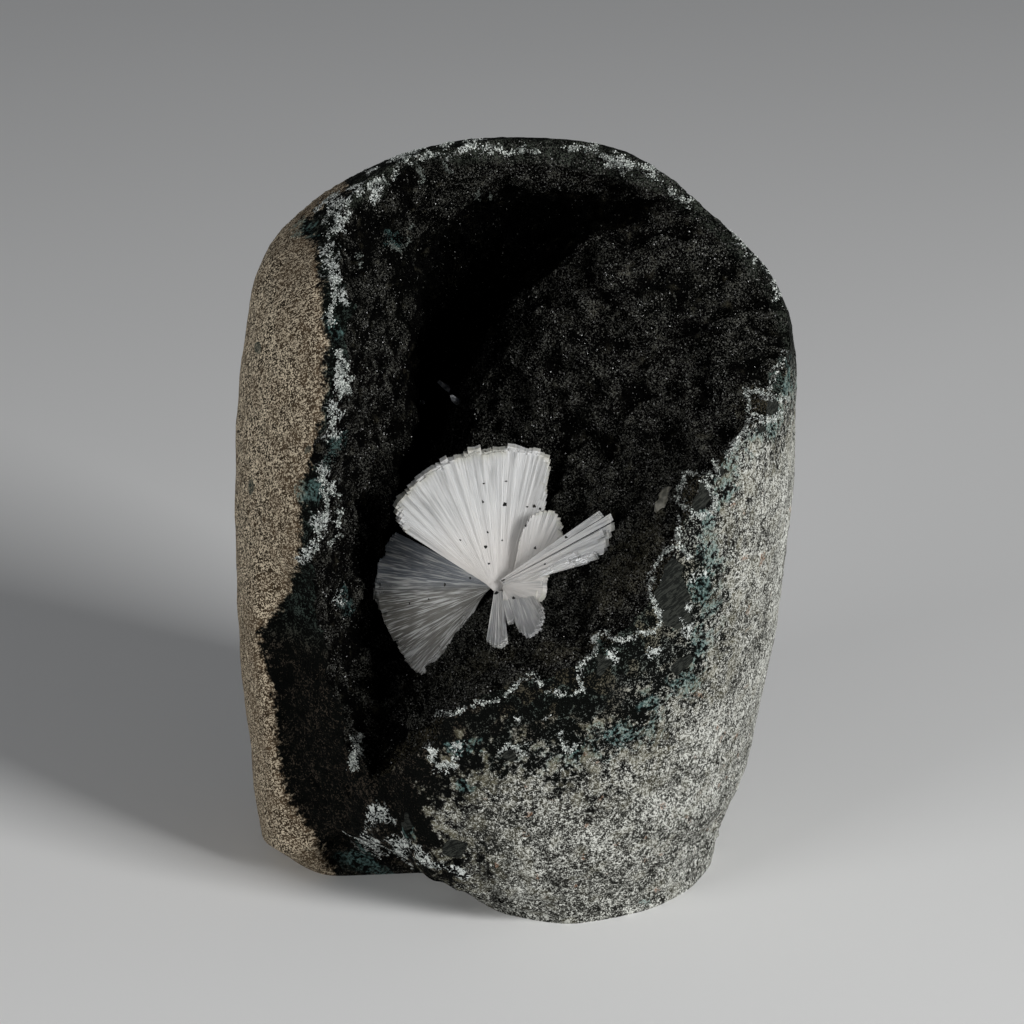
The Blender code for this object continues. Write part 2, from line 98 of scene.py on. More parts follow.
def curve_at(places, rows, wanted):
    """Read a smooth curve through the rows, which never overshoots them, at the wanted places."""
    places = np.asarray(places, float)
    rows = np.asarray(rows, float)
    flat = rows.reshape(len(places), -1)
    chords = np.diff(flat, axis=0) / np.diff(places)[:, None]
    before = chords[:-1]
    after = chords[1:]
    same_way = before * after > 0
    middle = np.where(same_way, 2 * before * after / np.where(same_way, before + after, 1), 0)
    slopes = np.vstack([chords[:1], middle, chords[-1:]])
    wanted = np.atleast_1d(np.asarray(wanted, float))
    index = np.clip(np.searchsorted(places, wanted, side="right") - 1, 0, len(places) - 2)
    width = (places[index + 1] - places[index])[:, None]
    t = np.clip((wanted - places[index])[:, None] / width, 0, 1)
    start = (1 + 2 * t) * (1 - t) ** 2 * flat[index] + t * (1 - t) ** 2 * width * slopes[index]
    end = t * t * (3 - 2 * t) * flat[index + 1] + t * t * (t - 1) * width * slopes[index + 1]
    return (start + end).reshape((len(wanted),) + rows.shape[1:])


def even_places(places, rows, spacing):
    """Places along a profile so that its rows move about one spacing from each to the next."""
    fine = np.linspace(places[0], places[-1], READINGS)
    values = curve_at(places, rows, fine).reshape(len(fine), -1)
    moved = np.sqrt(np.mean(np.diff(values, axis=0) ** 2, axis=1) + np.diff(fine) ** 2)
    length = np.concatenate([[0], np.cumsum(moved)])
    return np.interp(np.linspace(0, length[-1], ceil(length[-1] / spacing)), length, fine)


print("a curve through 0, 1 and 1 passes halfway to the first 1 at", curve_at((0, 1, 2), (0, 1, 1), 0.5))

# %% [markdown]
# ## Roughness that is carved, not painted
# Stone is rough at every size. The coarse part has to be in the mesh, because it shows in the outline and
# in the shadows, and only the finest grain is left to the material. Blender's own noise functions give
# the same value at the same place each time, so a neighbour that shares an edge gets the same roughness
# there.

# %% Noise at many points
LUMP_SEED = np.array([11.3, 4.7, 29.1])


def noise_places(points, per_mm, offset):
    """Where each point lies in the noise, with this many swells in a millimetre."""
    return (points * per_mm + LUMP_SEED + offset).tolist()


def noise_at(points, per_mm, offset=0.0):
    """Smooth noise from about -1 to 1 at each point."""
    return np.array([noise.noise(place) for place in noise_places(points, per_mm, offset)])


def cells_at(points, per_mm, offset=0.0):
    """Distance to the nearest cell middle, in cells: 0 in the middle, about 0.6 at the edge."""
    return np.array([noise.voronoi(place)[0][0] for place in noise_places(points, per_mm, offset)])


print("noise a millimetre apart:", np.round(noise_at(np.arange(4)[:, None] * np.ones(3), 0.5), 2))

# %% [markdown]
# ## From a grid of points to a closed body
# The column and the vug are both lofts: rings of points, one above or behind the other. NumPy moves a
# whole grid at once, which is many times faster than one vertex at a time, and the neighbours in the grid
# give the normals.

# %% Grid bodies
def grid_normals(grid):
    """Outward normals of a (rings, sides, 3) grid that closes round its sides."""
    around = np.roll(grid, -1, axis=1) - np.roll(grid, 1, axis=1)
    along = np.gradient(grid, axis=0)
    normals = np.cross(around, along)
    return normals / np.maximum(np.linalg.norm(normals, axis=2, keepdims=True), 1e-9)


def to_frame(points):
    """Carry points from the drawing's millimetres into the frame, in metres."""
    return np.asarray(points, float) * MM + stone_shift


def new_mesh(name, vertices, faces):
    """Make an object from rows of vertices and faces."""
    mesh = bpy.data.meshes.new(name)
    mesh.from_pydata(np.asarray(vertices).tolist(), [], faces)
    item = bpy.data.objects.new(name, mesh)
    bpy.context.collection.objects.link(item)
    return item


def grid_body(name, grid, kind):
    """Skin a grid of rings into one closed body, and write on its faces what kind of surface they are."""
    rings, sides, _ = grid.shape
    hubs = grid[[0, -1]].mean(axis=1)
    corner = np.arange(rings * sides).reshape(rings, sides)
    after = np.roll(corner, -1, axis=1)
    quads = np.stack([corner[:-1], after[:-1], after[1:], corner[1:]], axis=-1).reshape(-1, 4)
    first = np.stack([np.full(sides, rings * sides), after[0], corner[0]], axis=-1)
    last = np.stack([np.full(sides, rings * sides + 1), corner[-1], after[-1]], axis=-1)
    vertices = to_frame(np.vstack([grid.reshape(-1, 3), hubs]))
    item = new_mesh(name, vertices, quads.tolist() + first.tolist() + last.tolist())
    bpy.context.view_layer.update()
    mark = item.data.attributes.new("kind", "FLOAT", "FACE")
    mark.data.foreach_set("value", np.full(len(item.data.polygons), kind, np.float32))
    return item


# %% [markdown]
# ## The column
# The stone's outline is measured at each height: how far it reaches to the left, right, front and back.
# Rocks that rolled or were ground have no sharp edges, so a ring between those four reaches is a soft,
# slightly square ellipse. The foot is broken, which a second table gives by compass angle: how high the
# lower edge is lifted and how much of the reach still stands on the ground. On the front left a slab has
# come off beside the vug.

# %% Measures of the column, in millimetres
# Height, then how far the stone reaches to the left, right, front and back
COLUMN_HEIGHTS = (
    (0, 39.4, 33.4, 34.6, 37.0),
    (6, 40.1, 34.4, 37.0, 38.6),
    (16, 40.8, 36.8, 38.8, 39.8),
    (30, 41.8, 39.4, 40.4, 40.8),
    (45, 42.2, 41.7, 41.4, 41.4),
    (60, 41.9, 43.0, 41.8, 41.6),
    (75, 40.8, 43.0, 41.6, 41.2),
    (84, 39.9, 42.2, 41.0, 39.0),
    (90, 39.0, 39.8, 39.6, 36.4),
    (95, 36.9, 35.6, 37.0, 32.6),
    (99.5, 32.6, 30.6, 33.4, 27.6),
    (104, 27.0, 26.4, 28.0, 20.8),
    (108, 20.4, 21.2, 21.6, 12.6),
    (110.5, 14.6, 16.8, 15.6, 7.4),
    (112, 9.4, 11.6, 9.0, 3.6),
)
COLUMN_SQUARENESS = 2.12
# Compass angle in degrees, how high the lower edge is lifted, and the share of the reach that stands
FOOT_EDGE = (
    (0, 1.5, 0.95), (60, 2.0, 0.93), (120, 2.5, 0.92), (175, 1.5, 0.95), (205, 5.0, 0.84),
    (228, 10.5, 0.56), (250, 6.5, 0.62), (270, 2.2, 0.84), (288, 0.6, 0.96), (308, 0.6, 0.97),
    (325, 0.8, 0.97), (345, 1.2, 0.96),
)
FOOT_FADE = 38.0
# Where the slab that broke off begins, is full, begins to end and ends: in degrees, and in height
SCAR_ANGLES = (207, 214, 240, 250)
SCAR_HEIGHTS = (2, 9, 50, 58)
SCAR_DEPTH = 2.8
CROWN_SHARES = (0.86, 0.70, 0.52, 0.34, 0.16)
CROWN_RISE = 0.75
FOOT_SHARES = (0.25, 0.5, 0.75)
print("rows of heights:", len(COLUMN_HEIGHTS), "rows of the foot:", len(FOOT_EDGE))

# %% The column as a grid
SKIN_SPACING = 0.52
FRONT_TURN = 0.72
BACK_TURN = 1.6
# Swells of the skin: height in millimetres and how many there are in a millimetre
SKIN_SWELLS = ((0.5, 0.06), (0.25, 0.15))


def ring_reach(across, along, reaches):
    """How far a soft, slightly square ring reaches in each direction."""
    left, right, front, back = reaches
    reach_x = np.where(across > 0, right, left)
    reach_y = np.where(along > 0, back, front)
    power = COLUMN_SQUARENESS
    return (np.abs(across / reach_x) ** power + np.abs(along / reach_y) ** power) ** (-1 / power)


def scar_depth(angles, raised):
    """Depth of the broken-off slab at compass angles and heights."""
    sides = smoothstep(angles, *SCAR_ANGLES[:2]) * fade(angles, *SCAR_ANGLES[2:])
    ends = smoothstep(raised, *SCAR_HEIGHTS[:2]) * fade(raised, *SCAR_HEIGHTS[2:])
    return SCAR_DEPTH * sides[None] * ends


def column_grid():
    """The worn column as rings from its foot to its crown, still without its fine roughness."""
    angles = np.concatenate([np.arange(0, 180, BACK_TURN), np.arange(180, 360, FRONT_TURN)])
    places = [row[0] for row in COLUMN_HEIGHTS]
    rows = [row[1:] for row in COLUMN_HEIGHTS]
    heights = even_places(places, rows, SKIN_SPACING)
    foot_rows = [row[1:] for row in FOOT_EDGE] + [FOOT_EDGE[0][1:]]
    lift, share = curve_at([row[0] for row in FOOT_EDGE] + [360], foot_rows, angles).T
    across = np.cos(np.radians(angles))[None]
    along = np.sin(np.radians(angles))[None]
    radius = ring_reach(across, along, curve_at(places, rows, heights).T[:, :, None])
    raised = heights[:, None] + lift[None] * np.maximum(0, 1 - heights[:, None] / FOOT_FADE) ** 2
    place = np.stack([radius * across, radius * along, raised], axis=-1).reshape(-1, 3)
    worn = sum(height * noise_at(place, per_mm) for height, per_mm in SKIN_SWELLS)
    radius = radius + worn.reshape(radius.shape) - scar_depth(angles, raised)
    rings = np.stack([radius * across, radius * along, raised], axis=-1)
    ground = rings[0] * np.stack([share, share, 0 * share], axis=-1)
    broken = [ground + (rings[0] - ground) * part for part in (0,) + FOOT_SHARES]
    crown = [rings[-1] * (part, part, 1) + (0, 0, CROWN_RISE * (1 - part * part)) for part in CROWN_SHARES]
    return np.concatenate([broken, rings, crown])


skin = column_grid()
skin_low = skin.reshape(-1, 3).min(axis=0) * MM
skin_high = skin.reshape(-1, 3).max(axis=0) * MM
shift_across = (stone_low[0] + stone_high[0] - skin_low[0] - skin_high[0]) / 2
stone_shift = np.array([shift_across, stone_high[1] - skin_high[1], stone_low[2] - skin_low[2]])
print("column grid:", skin.shape, "moved by", np.round(stone_shift / MM, 2), "mm into the frame")

# %% [markdown]
# ## The camera and a drawing of the front
# The stone is seen from the front and a little above, from far enough away that its sides stay nearly
# parallel, so the lens is long. The same view is used as a drawing board: a point's place on it is read
# in millimetres, as a ruler held up at the middle of the stone would show. Lines and patches that the
# stone wears at its front are then named by where they lie on that board, which is how a naturalist would
# sketch them.

# %% Camera
VIEW_ELEVATION = radians(20)
VIEW_DISTANCE = 0.62
VIEW_HEIGHT = 0.054
FRAME_WIDTH = 0.15616
SENSOR_WIDTH = 36.0
RIGHTWARD = np.array([1.0, 0.0, 0.0])
UPWARD = np.array([0.0, sin(VIEW_ELEVATION), cos(VIEW_ELEVATION)])
TO_VIEWER = np.array([0.0, -cos(VIEW_ELEVATION), sin(VIEW_ELEVATION)])
sight = to_frame([0, 0, VIEW_HEIGHT / MM])

lens = bpy.data.cameras.new("front_camera")
lens.sensor_width = SENSOR_WIDTH
lens.lens = SENSOR_WIDTH * VIEW_DISTANCE / FRAME_WIDTH
lens.clip_start = 0.01
camera = bpy.data.objects.new("front_camera", lens)
bpy.context.collection.objects.link(camera)
camera.location = sight + TO_VIEWER * VIEW_DISTANCE
camera.rotation_euler = Vector(-TO_VIEWER).to_track_quat("-Z", "Y").to_euler()
bpy.context.scene.camera = camera
print("lens:", round(lens.lens, 1), "mm")

# %% The drawing board
# Where a patch begins and stops to fade, as shares of its half width
PATCH_EDGE = (0.55, 1.25)


def on_drawing(points):
    """Where points of the frame lie on the drawing of the front: millimetres to the right and up."""
    offset = np.asarray(points) - sight
    nearer = VIEW_DISTANCE / (VIEW_DISTANCE - offset @ TO_VIEWER)
    return np.stack([offset @ RIGHTWARD * nearer, offset @ UPWARD * nearer], axis=-1) / MM


def line_side(drawn, line):
    """Signed distance in millimetres to an open line: above 0 to the left of someone who walks along it."""
    line = np.asarray(line, float)
    best = np.full(len(drawn), np.inf)
    side = np.ones(len(drawn))
    for start, end in zip(line[:-1], line[1:]):
        step = end - start
        offset = drawn - start
        share = np.clip(offset @ step / (step @ step), 0, 1)
        distance = np.linalg.norm(offset - share[:, None] * step, axis=1)
        nearer = distance < best
        best = np.where(nearer, distance, best)
        turn = step[0] * offset[:, 1] - step[1] * offset[:, 0]
        side = np.where(nearer, np.sign(turn), side)
    return best * side


def patches(drawn, rows):
    """Strength from 0 to 1 of oval patches, each (across, up, half width, half height, turn in degrees)."""
    found = np.zeros(len(drawn))
    for across, up, half_width, half_height, turn in rows:
        offset = drawn - (across, up)
        along = offset @ (cos(radians(turn)), sin(radians(turn))) / half_width
        over = offset @ (-sin(radians(turn)), cos(radians(turn))) / half_height
        found = np.maximum(found, fade(np.hypot(along, over), *PATCH_EDGE))
    return found


print("the frame's origin on the drawing, in millimetres:", np.round(on_drawing(np.zeros((1, 3)))[0], 1))

# %% [markdown]
# ## Lines and patches on the front
# The ground skin of the column ends along a line on the left, where tan stone gives way to a crusty band.
# On the right and below, the black druse ends along the edge of the vug. Beyond it comes a strip of dark,
# altered rock with flecks and rings of white zeolite in it, and only then the fresh grey basalt. In that
# strip sit a few amygdales, small gas holes that filled up with dark green mineral.

# %% Lines and patches, in millimetres on the drawing
TAN_EDGE = (
    (-27.0, -55.0), (-30.8, -48.5), (-33.9, -43.9), (-35.7, -37.8), (-36.0, -31.7), (-36.6, -25.6),
    (-38.1, -21.8), (-38.1, -18.0), (-36.1, -15.7), (-33.9, -11.9), (-32.3, -5.8), (-32.3, -1.2),
    (-31.6, 4.9), (-29.6, 11.0), (-29.0, 17.1), (-28.5, 24.7), (-29.0, 32.3), (-30.0, 41.0),
    (-32.2, 42.6), (-31.6, 44.6), (-28.4, 47.4), (-24.0, 50.0), (-19.0, 52.4), (-11.0, 55.6),
    (0.0, 58.0), (20.0, 56.0),
)
# Higher up than the second number, the tan stone also ends at the first number across
TAN_TOP = (-25.5, 35.0)
VUG_EDGE = (
    (43.5, 23.9), (41.5, 23.8), (40.3, 21.3), (39.5, 19.2), (38.4, 18.0), (37.2, 19.1), (35.8, 18.3),
    (36.0, 15.9), (36.3, 14.0), (35.4, 12.4), (34.6, 11.0), (33.4, 9.3), (32.8, 8.2), (31.1, 7.6),
    (30.5, 6.1), (28.2, 5.8), (26.5, 6.1), (25.8, 4.3), (25.8, 2.1), (26.5, 0.5), (26.2, -1.1),
    (25.3, -2.4), (25.2, -4.4), (23.6, -5.9), (22.1, -7.3), (21.2, -9.2), (21.0, -11.3), (21.5, -13.1),
    (22.4, -15.1), (22.4, -16.6), (21.5, -18.1), (19.5, -18.6), (17.7, -19.4), (15.9, -19.5),
    (14.6, -18.5), (13.4, -18.5), (12.2, -19.8), (11.9, -21.8), (10.4, -23.3), (10.1, -24.9),
    (10.7, -26.7), (9.2, -27.6), (6.7, -27.4), (5.0, -26.2), (3.2, -25.2), (1.8, -25.2), (0.5, -26.5),
    (-0.6, -28.2), (-2.7, -28.7), (-5.2, -29.0), (-7.3, -30.0), (-9.5, -31.1), (-11.3, -31.1),
    (-14.0, -33.2), (-17.1, -35.5), (-19.4, -38.6), (-22.0, -42.4), (-24.7, -46.2), (-26.5, -50.0),
    (-27.8, -56.1),
)
GREY_EDGE = (
    (44.8, 17.7), (42.4, 16.8), (41.2, 14.3), (38.6, 12.2), (35.5, 10.2), (34.3, 7.6), (32.9, 4.9),
    (32.3, 2.3), (30.5, 0.9), (29.7, -1.2), (30.5, -5.0), (31.1, -7.3), (30.7, -11.9), (30.8, -15.2),
    (29.4, -19.5), (29.1, -23.3), (28.1, -26.1), (24.9, -27.4), (22.6, -29.3), (21.0, -32.9),
    (18.0, -35.1), (14.2, -37.2), (9.6, -38.4), (5.0, -38.7), (0.5, -38.4), (-4.9, -39.0), (-8.2, -40.6),
    (-10.7, -43.9), (-11.3, -48.5), (-8.7, -52.8), (-10.2, -56.9), (-12.5, -61.0),
)
CROWN_EDGE = (
    (-32.9, 41.5), (-27.8, 44.2), (-25.5, 45.8), (-23.2, 47.3), (-19.7, 48.2), (-18.3, 51.2),
    (-16.3, 52.8), (-12.5, 53.5), (-7.2, 53.2), (-1.8, 53.5), (4.3, 53.1), (10.4, 52.3), (14.9, 51.2),
    (19.5, 50.0), (23.3, 48.3), (26.4, 45.8), (28.7, 43.9), (31.4, 41.8), (33.7, 39.3), (36.3, 36.6),
    (38.7, 33.2), (40.3, 29.6), (41.5, 25.5),
)
AMYGDALES = (
    (39.0, 16.0, 2.0, 1.7, 20), (37.2, 18.1, 0.8, 0.6, 0), (28.6, 2.8, 2.2, 2.7, 0),
    (29.9, 2.6, 0.9, 1.1, 0), (24.4, -12.4, 3.0, 6.6, 6), (26.2, -23.2, 1.5, 1.4, 0),
    (38.1, 12.8, 0.8, 0.6, 0), (31.6, 6.4, 0.6, 0.9, 0), (-8.7, -51.2, 1.8, 1.4, -20),
    (-0.3, -37.2, 1.4, 0.9, 0), (-15.9, -47.6, 1.2, 1.2, 0), (13.4, -23.3, 1.2, 1.8, 0),
)
print("points of the edges:", [len(line) for line in (TAN_EDGE, VUG_EDGE, GREY_EDGE, CROWN_EDGE)])

# %% [markdown]
# ## Weathering the skin
# Each part of the skin wears in its own way. The tan face on the left is ground almost smooth, the grey
# basalt is grainy and pitted, the slab that broke off left a rough scar, and the crusty band beside the
# vug is lumpy. The wear only goes inwards, so that the stone never grows out of its measured size.

# %% Carve the skin
# Where each zone begins and ends to fade, in millimetres on the drawing or along the stone's depth or height
FRONT_DEPTHS = (-4, 8)
TAN_EDGE_WIDTH = (-1.2, 1.4)
BAND_ACROSS = (-20, -8)
BAND_UP = (-16, -8)
SCAR_ACROSS = (-27, -21)
SCAR_UP = (-17, -12)
CROWN_HEIGHTS = (96, 101)
LOW_HEIGHTS = (2, 16)
PIT_REACH = 0.30
PIT_DEPTH = 0.45
OVAL_DEPTH = 0.30


def skin_wear(points):
    """Depth in millimetres that weather took off the skin, at points of the frame."""
    drawn = on_drawing(points)
    place = points / MM
    front = fade(place[:, 1], *FRONT_DEPTHS)
    tan = smoothstep(line_side(drawn, TAN_EDGE), *TAN_EDGE_WIDTH)
    band = (1 - tan) * fade(drawn[:, 0], *BAND_ACROSS) * smoothstep(drawn[:, 1], *BAND_UP) * front
    scar = (1 - tan) * fade(drawn[:, 0], *SCAR_ACROSS) * fade(drawn[:, 1], *SCAR_UP) * front
    crown = smoothstep(place[:, 2], *CROWN_HEIGHTS) * front
    low = fade(place[:, 2], *LOW_HEIGHTS) * (1 - tan * front)
    grain = noise_at(place, 0.9)
    lumps = noise_at(place, 0.34, 7.0)
    swells = noise_at(place, 0.12, 3.0)
    pits = smoothstep(PIT_REACH - cells_at(place, 0.24, 5.0), 0.0, 0.16)
    rough = 0.11 + 0.10 * (1 - front) - 0.07 * tan * front - 0.05 * crown + 0.10 * low
    depth = rough * (1 + grain) + 0.10 * (1 + lumps) * (1 - 0.8 * tan)
    depth += PIT_DEPTH * pits * (1 - 0.85 * tan * front) * (1 - crown)
    depth += band * (0.30 * (1 + lumps) + 0.30 * smoothstep(cells_at(place, 0.42, 2.0), 0.1, 0.6))
    depth += scar * (0.55 * (1 + swells) + 0.40 * (1 + lumps) + 0.16 * grain)
    depth += low * (0.75 * (1 + lumps) + 0.35 * (1 + swells))
    ovals = patches(drawn, AMYGDALES) * front
    return depth * (1 - 0.75 * ovals) + OVAL_DEPTH * ovals


rings, sides, _ = skin.shape
wear = skin_wear(to_frame(skin.reshape(-1, 3))).reshape(rings, sides)
standing = smoothstep(skin[:, :, 2], 0.0, 0.6)
skin = skin - grid_normals(skin) * (wear * standing)[:, :, None]
print("wear, in millimetres: mean", round(float(wear.mean()), 2), "most", round(float(wear.max()), 2))

# %% [markdown]
# ## The vug
# The hole is a loft as well, but its rings stand upright, one behind the other: outlines in planes from
# the viewer's side to the back of the deep channel. Each lists its points from the floor up the left
# wall, over the roof and down the right slope. A Catmull-Rom curve runs through them, because unlike the
# monotone cubic it also turns smoothly round a closed outline.

# %% Measures of the vug, in millimetres
VUG_MOUTH = ((-21, 27), (-24, 31), (-30, 42), (-33.5, 56), (-32.5, 70), (-30, 85), (-28.5, 97), (-33, 114),
             (-5, 134), (40, 130), (66, 104), (52, 79), (34, 72), (26.5, 64), (21, 52.5), (11, 45.5),
             (-5, 40))
# Outlines: how deep their plane lies, and their points across and up
VUG_OUTLINES = (
    (-72, VUG_MOUTH),
    (-45, VUG_MOUTH),
    (-30, ((-19, 24), (-22.5, 27.5), (-27, 38.5), (-29, 54), (-27.3, 68), (-23.8, 84), (-22.8, 95),
           (-28, 111), (-5, 134), (40, 130), (66, 104), (52, 82), (33, 74), (25, 68), (18.5, 58.5),
           (9, 49.5), (-5, 41))),
    (-15, ((-18, 31), (-22.5, 34), (-25, 41), (-24.5, 54), (-23.2, 68), (-21.2, 84), (-21, 95),
           (-26, 108), (-5, 134), (40, 130), (66, 104), (50, 84), (37, 81), (28, 77.5), (18, 68.5),
           (8, 58.5), (-5, 46))),
    (-4, ((-18, 37), (-22, 40), (-23, 46), (-22, 54), (-20.8, 68), (-19.2, 84), (-19.2, 96), (-22, 108),
          (-4, 119), (16, 118), (50, 109), (52, 90), (38, 89.5), (27, 86.5), (16, 78.5), (6, 69),
          (-4, 54))),
    (3, ((-18, 41), (-21, 44), (-21, 50), (-20, 56), (-18.8, 70), (-17.6, 86), (-16.6, 97), (-13, 103),
         (-2, 106.5), (14, 106.5), (31, 105.5), (47, 101), (38, 96), (27, 95.5), (15, 91.5), (4, 82),
         (-6, 64))),
    (10, ((-18, 44), (-19, 49), (-18.4, 55), (-17.4, 62), (-16.5, 74), (-15.8, 86), (-14.2, 94),
          (-9, 99.5), (0, 102.5), (10, 103), (17, 102), (21, 99.8), (19.5, 96.8), (15, 94.5), (8, 90.5),
          (0, 82), (-9, 66))),
    (20, ((-16.5, 42), (-17, 50), (-16.2, 58), (-15.2, 66), (-14.4, 76), (-13.6, 84), (-12, 90),
          (-8, 94.5), (0, 97.5), (7, 98), (11, 97), (13, 95), (11.5, 92.5), (8, 90), (2, 85.5),
          (-4, 77), (-11, 62))),
    (27, ((-15, 56), (-15.4, 61), (-15, 66), (-14.4, 71), (-13.8, 77), (-13, 83), (-12, 87),
          (-9.5, 90.5), (-6, 92), (-3, 92.5), (-1, 91.5), (0, 89.5), (-1, 87.3), (-3, 85), (-5.5, 81),
          (-8.5, 74), (-12, 64))),
    (31, ((-12.5, 68), (-12.8, 70), (-12.6, 72), (-12.3, 74.5), (-12, 77), (-11.7, 79.5), (-11.2, 81.5),
          (-10, 83), (-8.5, 84), (-7.3, 84.2), (-6.5, 83.7), (-6, 82.8), (-6.4, 81.6), (-7.2, 80.3),
          (-8.3, 78.5), (-9.6, 75.5), (-11.2, 71.5))),
)
CRUST_THICK = 4.0
CRUST_THIN = 1.4
print("depths of the outlines:", [row[0] for row in VUG_OUTLINES])

# %% The vug as a grid
# An outline that runs above the stone cuts nothing, so it may have fewer points
FREE_HEIGHT = 104
FREE_COARSENESS = 3


def vug_grid(spacing):
    """The vug's wall as upright rings, with about one spacing in millimetres between their points."""
    planes = [row[0] for row in VUG_OUTLINES]
    outlines = np.array([row[1] for row in VUG_OUTLINES], float)
    inside = outlines[2:-1]
    sizes = np.linalg.norm(np.roll(inside, -1, axis=1) - inside, axis=2).mean(axis=0)
    before = np.roll(outlines, 1, axis=1)
    after = np.roll(outlines, -1, axis=1)
    beyond = np.roll(outlines, -2, axis=1)
    pieces = []
    for number, size in enumerate(sizes):
        above = np.all(inside[:3, number, 1] > FREE_HEIGHT)
        steps = ceil(size / (spacing * (FREE_COARSENESS if above else 1)))
        t = (np.arange(steps) / steps)[None, :, None]
        a, b, c, d = (rows[:, number][:, None] for rows in (before, outlines, after, beyond))
        pieces.append(0.5 * (2 * b + (c - a) * t + (2 * a - 5 * b + 4 * c - d) * t ** 2
                             + (3 * b - a - 3 * c + d) * t ** 3))
    smooth = np.concatenate(pieces, axis=1)
    depths = np.concatenate([[planes[0]], even_places(planes[1:], smooth[1:], spacing)])
    rows = curve_at(planes, smooth, depths)
    across, up = np.moveaxis(rows, 2, 0)
    return np.stack([across, np.broadcast_to(depths[:, None], across.shape), up], axis=-1)


print("points of a coarse grid of the vug:", vug_grid(4.0).shape)

# %% [markdown]
# ## The relief of the vug's wall
# Two walls come from the same outlines. The rock's wall is smooth and hidden behind the crust, and the
# open wall is what one sees: bubbles ran together at its left, ridges run across its right slope, and
# crystals roughen all of it. The crust is what lies between the two. Close to the small crystals the wall
# keeps its plain shape, because they stand on it.

# %% Relief of the wall
CRUST_LEFT = (-17, -8)
CRUST_FRONT = (0, 11)
ROOF_HEIGHTS = (98, 104)
ROOF_ACROSS = (16, 27)
BUBBLES_LEFT = (-14, -4)
GRIT_LEFT = (-16, -6)
SLOPE_ACROSS = (1, 9)
SLOPE_HEIGHTS = (54, 64)
CALM_REACH = (4.5, 9.0)
BUBBLE_RISE = 2.3
RIDGE_STRETCH = (0.45, 0.8, 1.0)


def crust_thickness(place):
    """Thickness of the druse in millimetres: thick at the left and under the front of the roof."""
    left = fade(place[:, 0], *CRUST_LEFT)
    roof = smoothstep(place[:, 2], *ROOF_HEIGHTS) * fade(place[:, 0], *ROOF_ACROSS)
    front = fade(place[:, 1], *CRUST_FRONT)
    return CRUST_THIN + (CRUST_THICK - CRUST_THIN) * np.maximum(left, 0.6 * roof) * front


def calm_places(place):
    """1 near the small crystals, where the wall has to stay as it is, and 0 elsewhere."""
    middles = [np.mean(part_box(name), axis=0) / MM for name in frame["nodes"] if "crystal" in name]
    nearest = np.min([np.linalg.norm(place - middle, axis=1) for middle in middles], axis=0)
    return fade(nearest, *CALM_REACH)


def wall_lumps(place):
    """How far both walls bulge outwards, in millimetres: bubbles run together at the left, and swells."""
    swells = 0.9 * noise_at(place, 0.07) + 1.3 * noise_at(place, 0.15, 21.0) * (1 - calm_places(place))
    return fade(place[:, 0], *BUBBLES_LEFT) * BUBBLE_RISE * (cells_at(place, 0.105) - 0.45) + swells


def slope_ridges(place):
    """Low ridges across the right slope of the vug, in millimetres."""
    right = smoothstep(place[:, 0], *SLOPE_ACROSS) * smoothstep(place[:, 2], *SLOPE_HEIGHTS)
    ridged = place * RIDGE_STRETCH
    ridges = 1.9 * noise_at(ridged, 0.34, 17.0) + 0.9 * noise_at(ridged, 0.8, 5.0)
    return right * (1 - calm_places(place)) * ridges


def grit_parts(place):
    """The finer relief of the open wall: lumps, and cells of broken bubbles with their share at the left."""
    lumps = noise_at(place, 0.3) + 0.6 * noise_at(place, 0.8, 4.0)
    return lumps, cells_at(place, 0.26, 9.0), fade(place[:, 0], *GRIT_LEFT)


# %% The open wall and the rock's wall
OPEN_SPACING = 0.46
ROCK_SPACING = 1.5
CRYSTAL_JITTER = 0.16
BUBBLE_RIM = 0.9


def open_wall(grid, random):
    """The wall as the open vug shows it, rough down to the size of its crystals."""
    place = grid.reshape(-1, 3)
    lumps, bubbles, left = grit_parts(place)
    grit = lumps + left * BUBBLE_RIM * (smoothstep(bubbles, 0.05, 0.65) - 0.5) + slope_ridges(place)
    jitter = random.uniform(-1, 1, place.shape) * CRYSTAL_JITTER
    moved = place + grid_normals(grid).reshape(-1, 3) * (wall_lumps(place) + grit)[:, None] + jitter
    return moved.reshape(grid.shape)


def rock_wall(grid):
    """The wall behind the crust."""
    place = grid.reshape(-1, 3)
    thickness = crust_thickness(place) + wall_lumps(place)
    return (place + grid_normals(grid).reshape(-1, 3) * thickness[:, None]).reshape(grid.shape)


open_grid = open_wall(vug_grid(OPEN_SPACING), np.random.default_rng(5))
rock_grid = rock_wall(vug_grid(ROCK_SPACING))
print("open wall grid:", open_grid.shape, "rock wall grid:", rock_grid.shape)

# %% [markdown]
# ## Cutting stone and crust
# The stone is the column less the hole with its crust. The crust is that same hole, trimmed to the
# column's skin, less the open space. All three share the same surfaces, so stone and crust meet without a
# gap and with a ragged natural edge. Each face keeps the mark of the body it came from, which later tells
# skin from open wall.

# %% Boolean cuts
SKIN = 0.0
OPEN = 1.0
HIDDEN = 2.0


def combine(target, other, operation, keep_other=False):
    """Cut or intersect two closed bodies. The quick solver is enough, because both are closed."""
    modifier = target.modifiers.new("combine", "BOOLEAN")
    modifier.operation = operation
    modifier.solver = "MANIFOLD"
    modifier.object = other
    graph = bpy.context.evaluated_depsgraph_get()
    mesh = bpy.data.meshes.new_from_object(target.evaluated_get(graph))
    target.modifiers.clear()
    old = target.data
    target.data = mesh
    bpy.data.meshes.remove(old)
    if not keep_other:
        bpy.data.objects.remove(other, do_unlink=True)


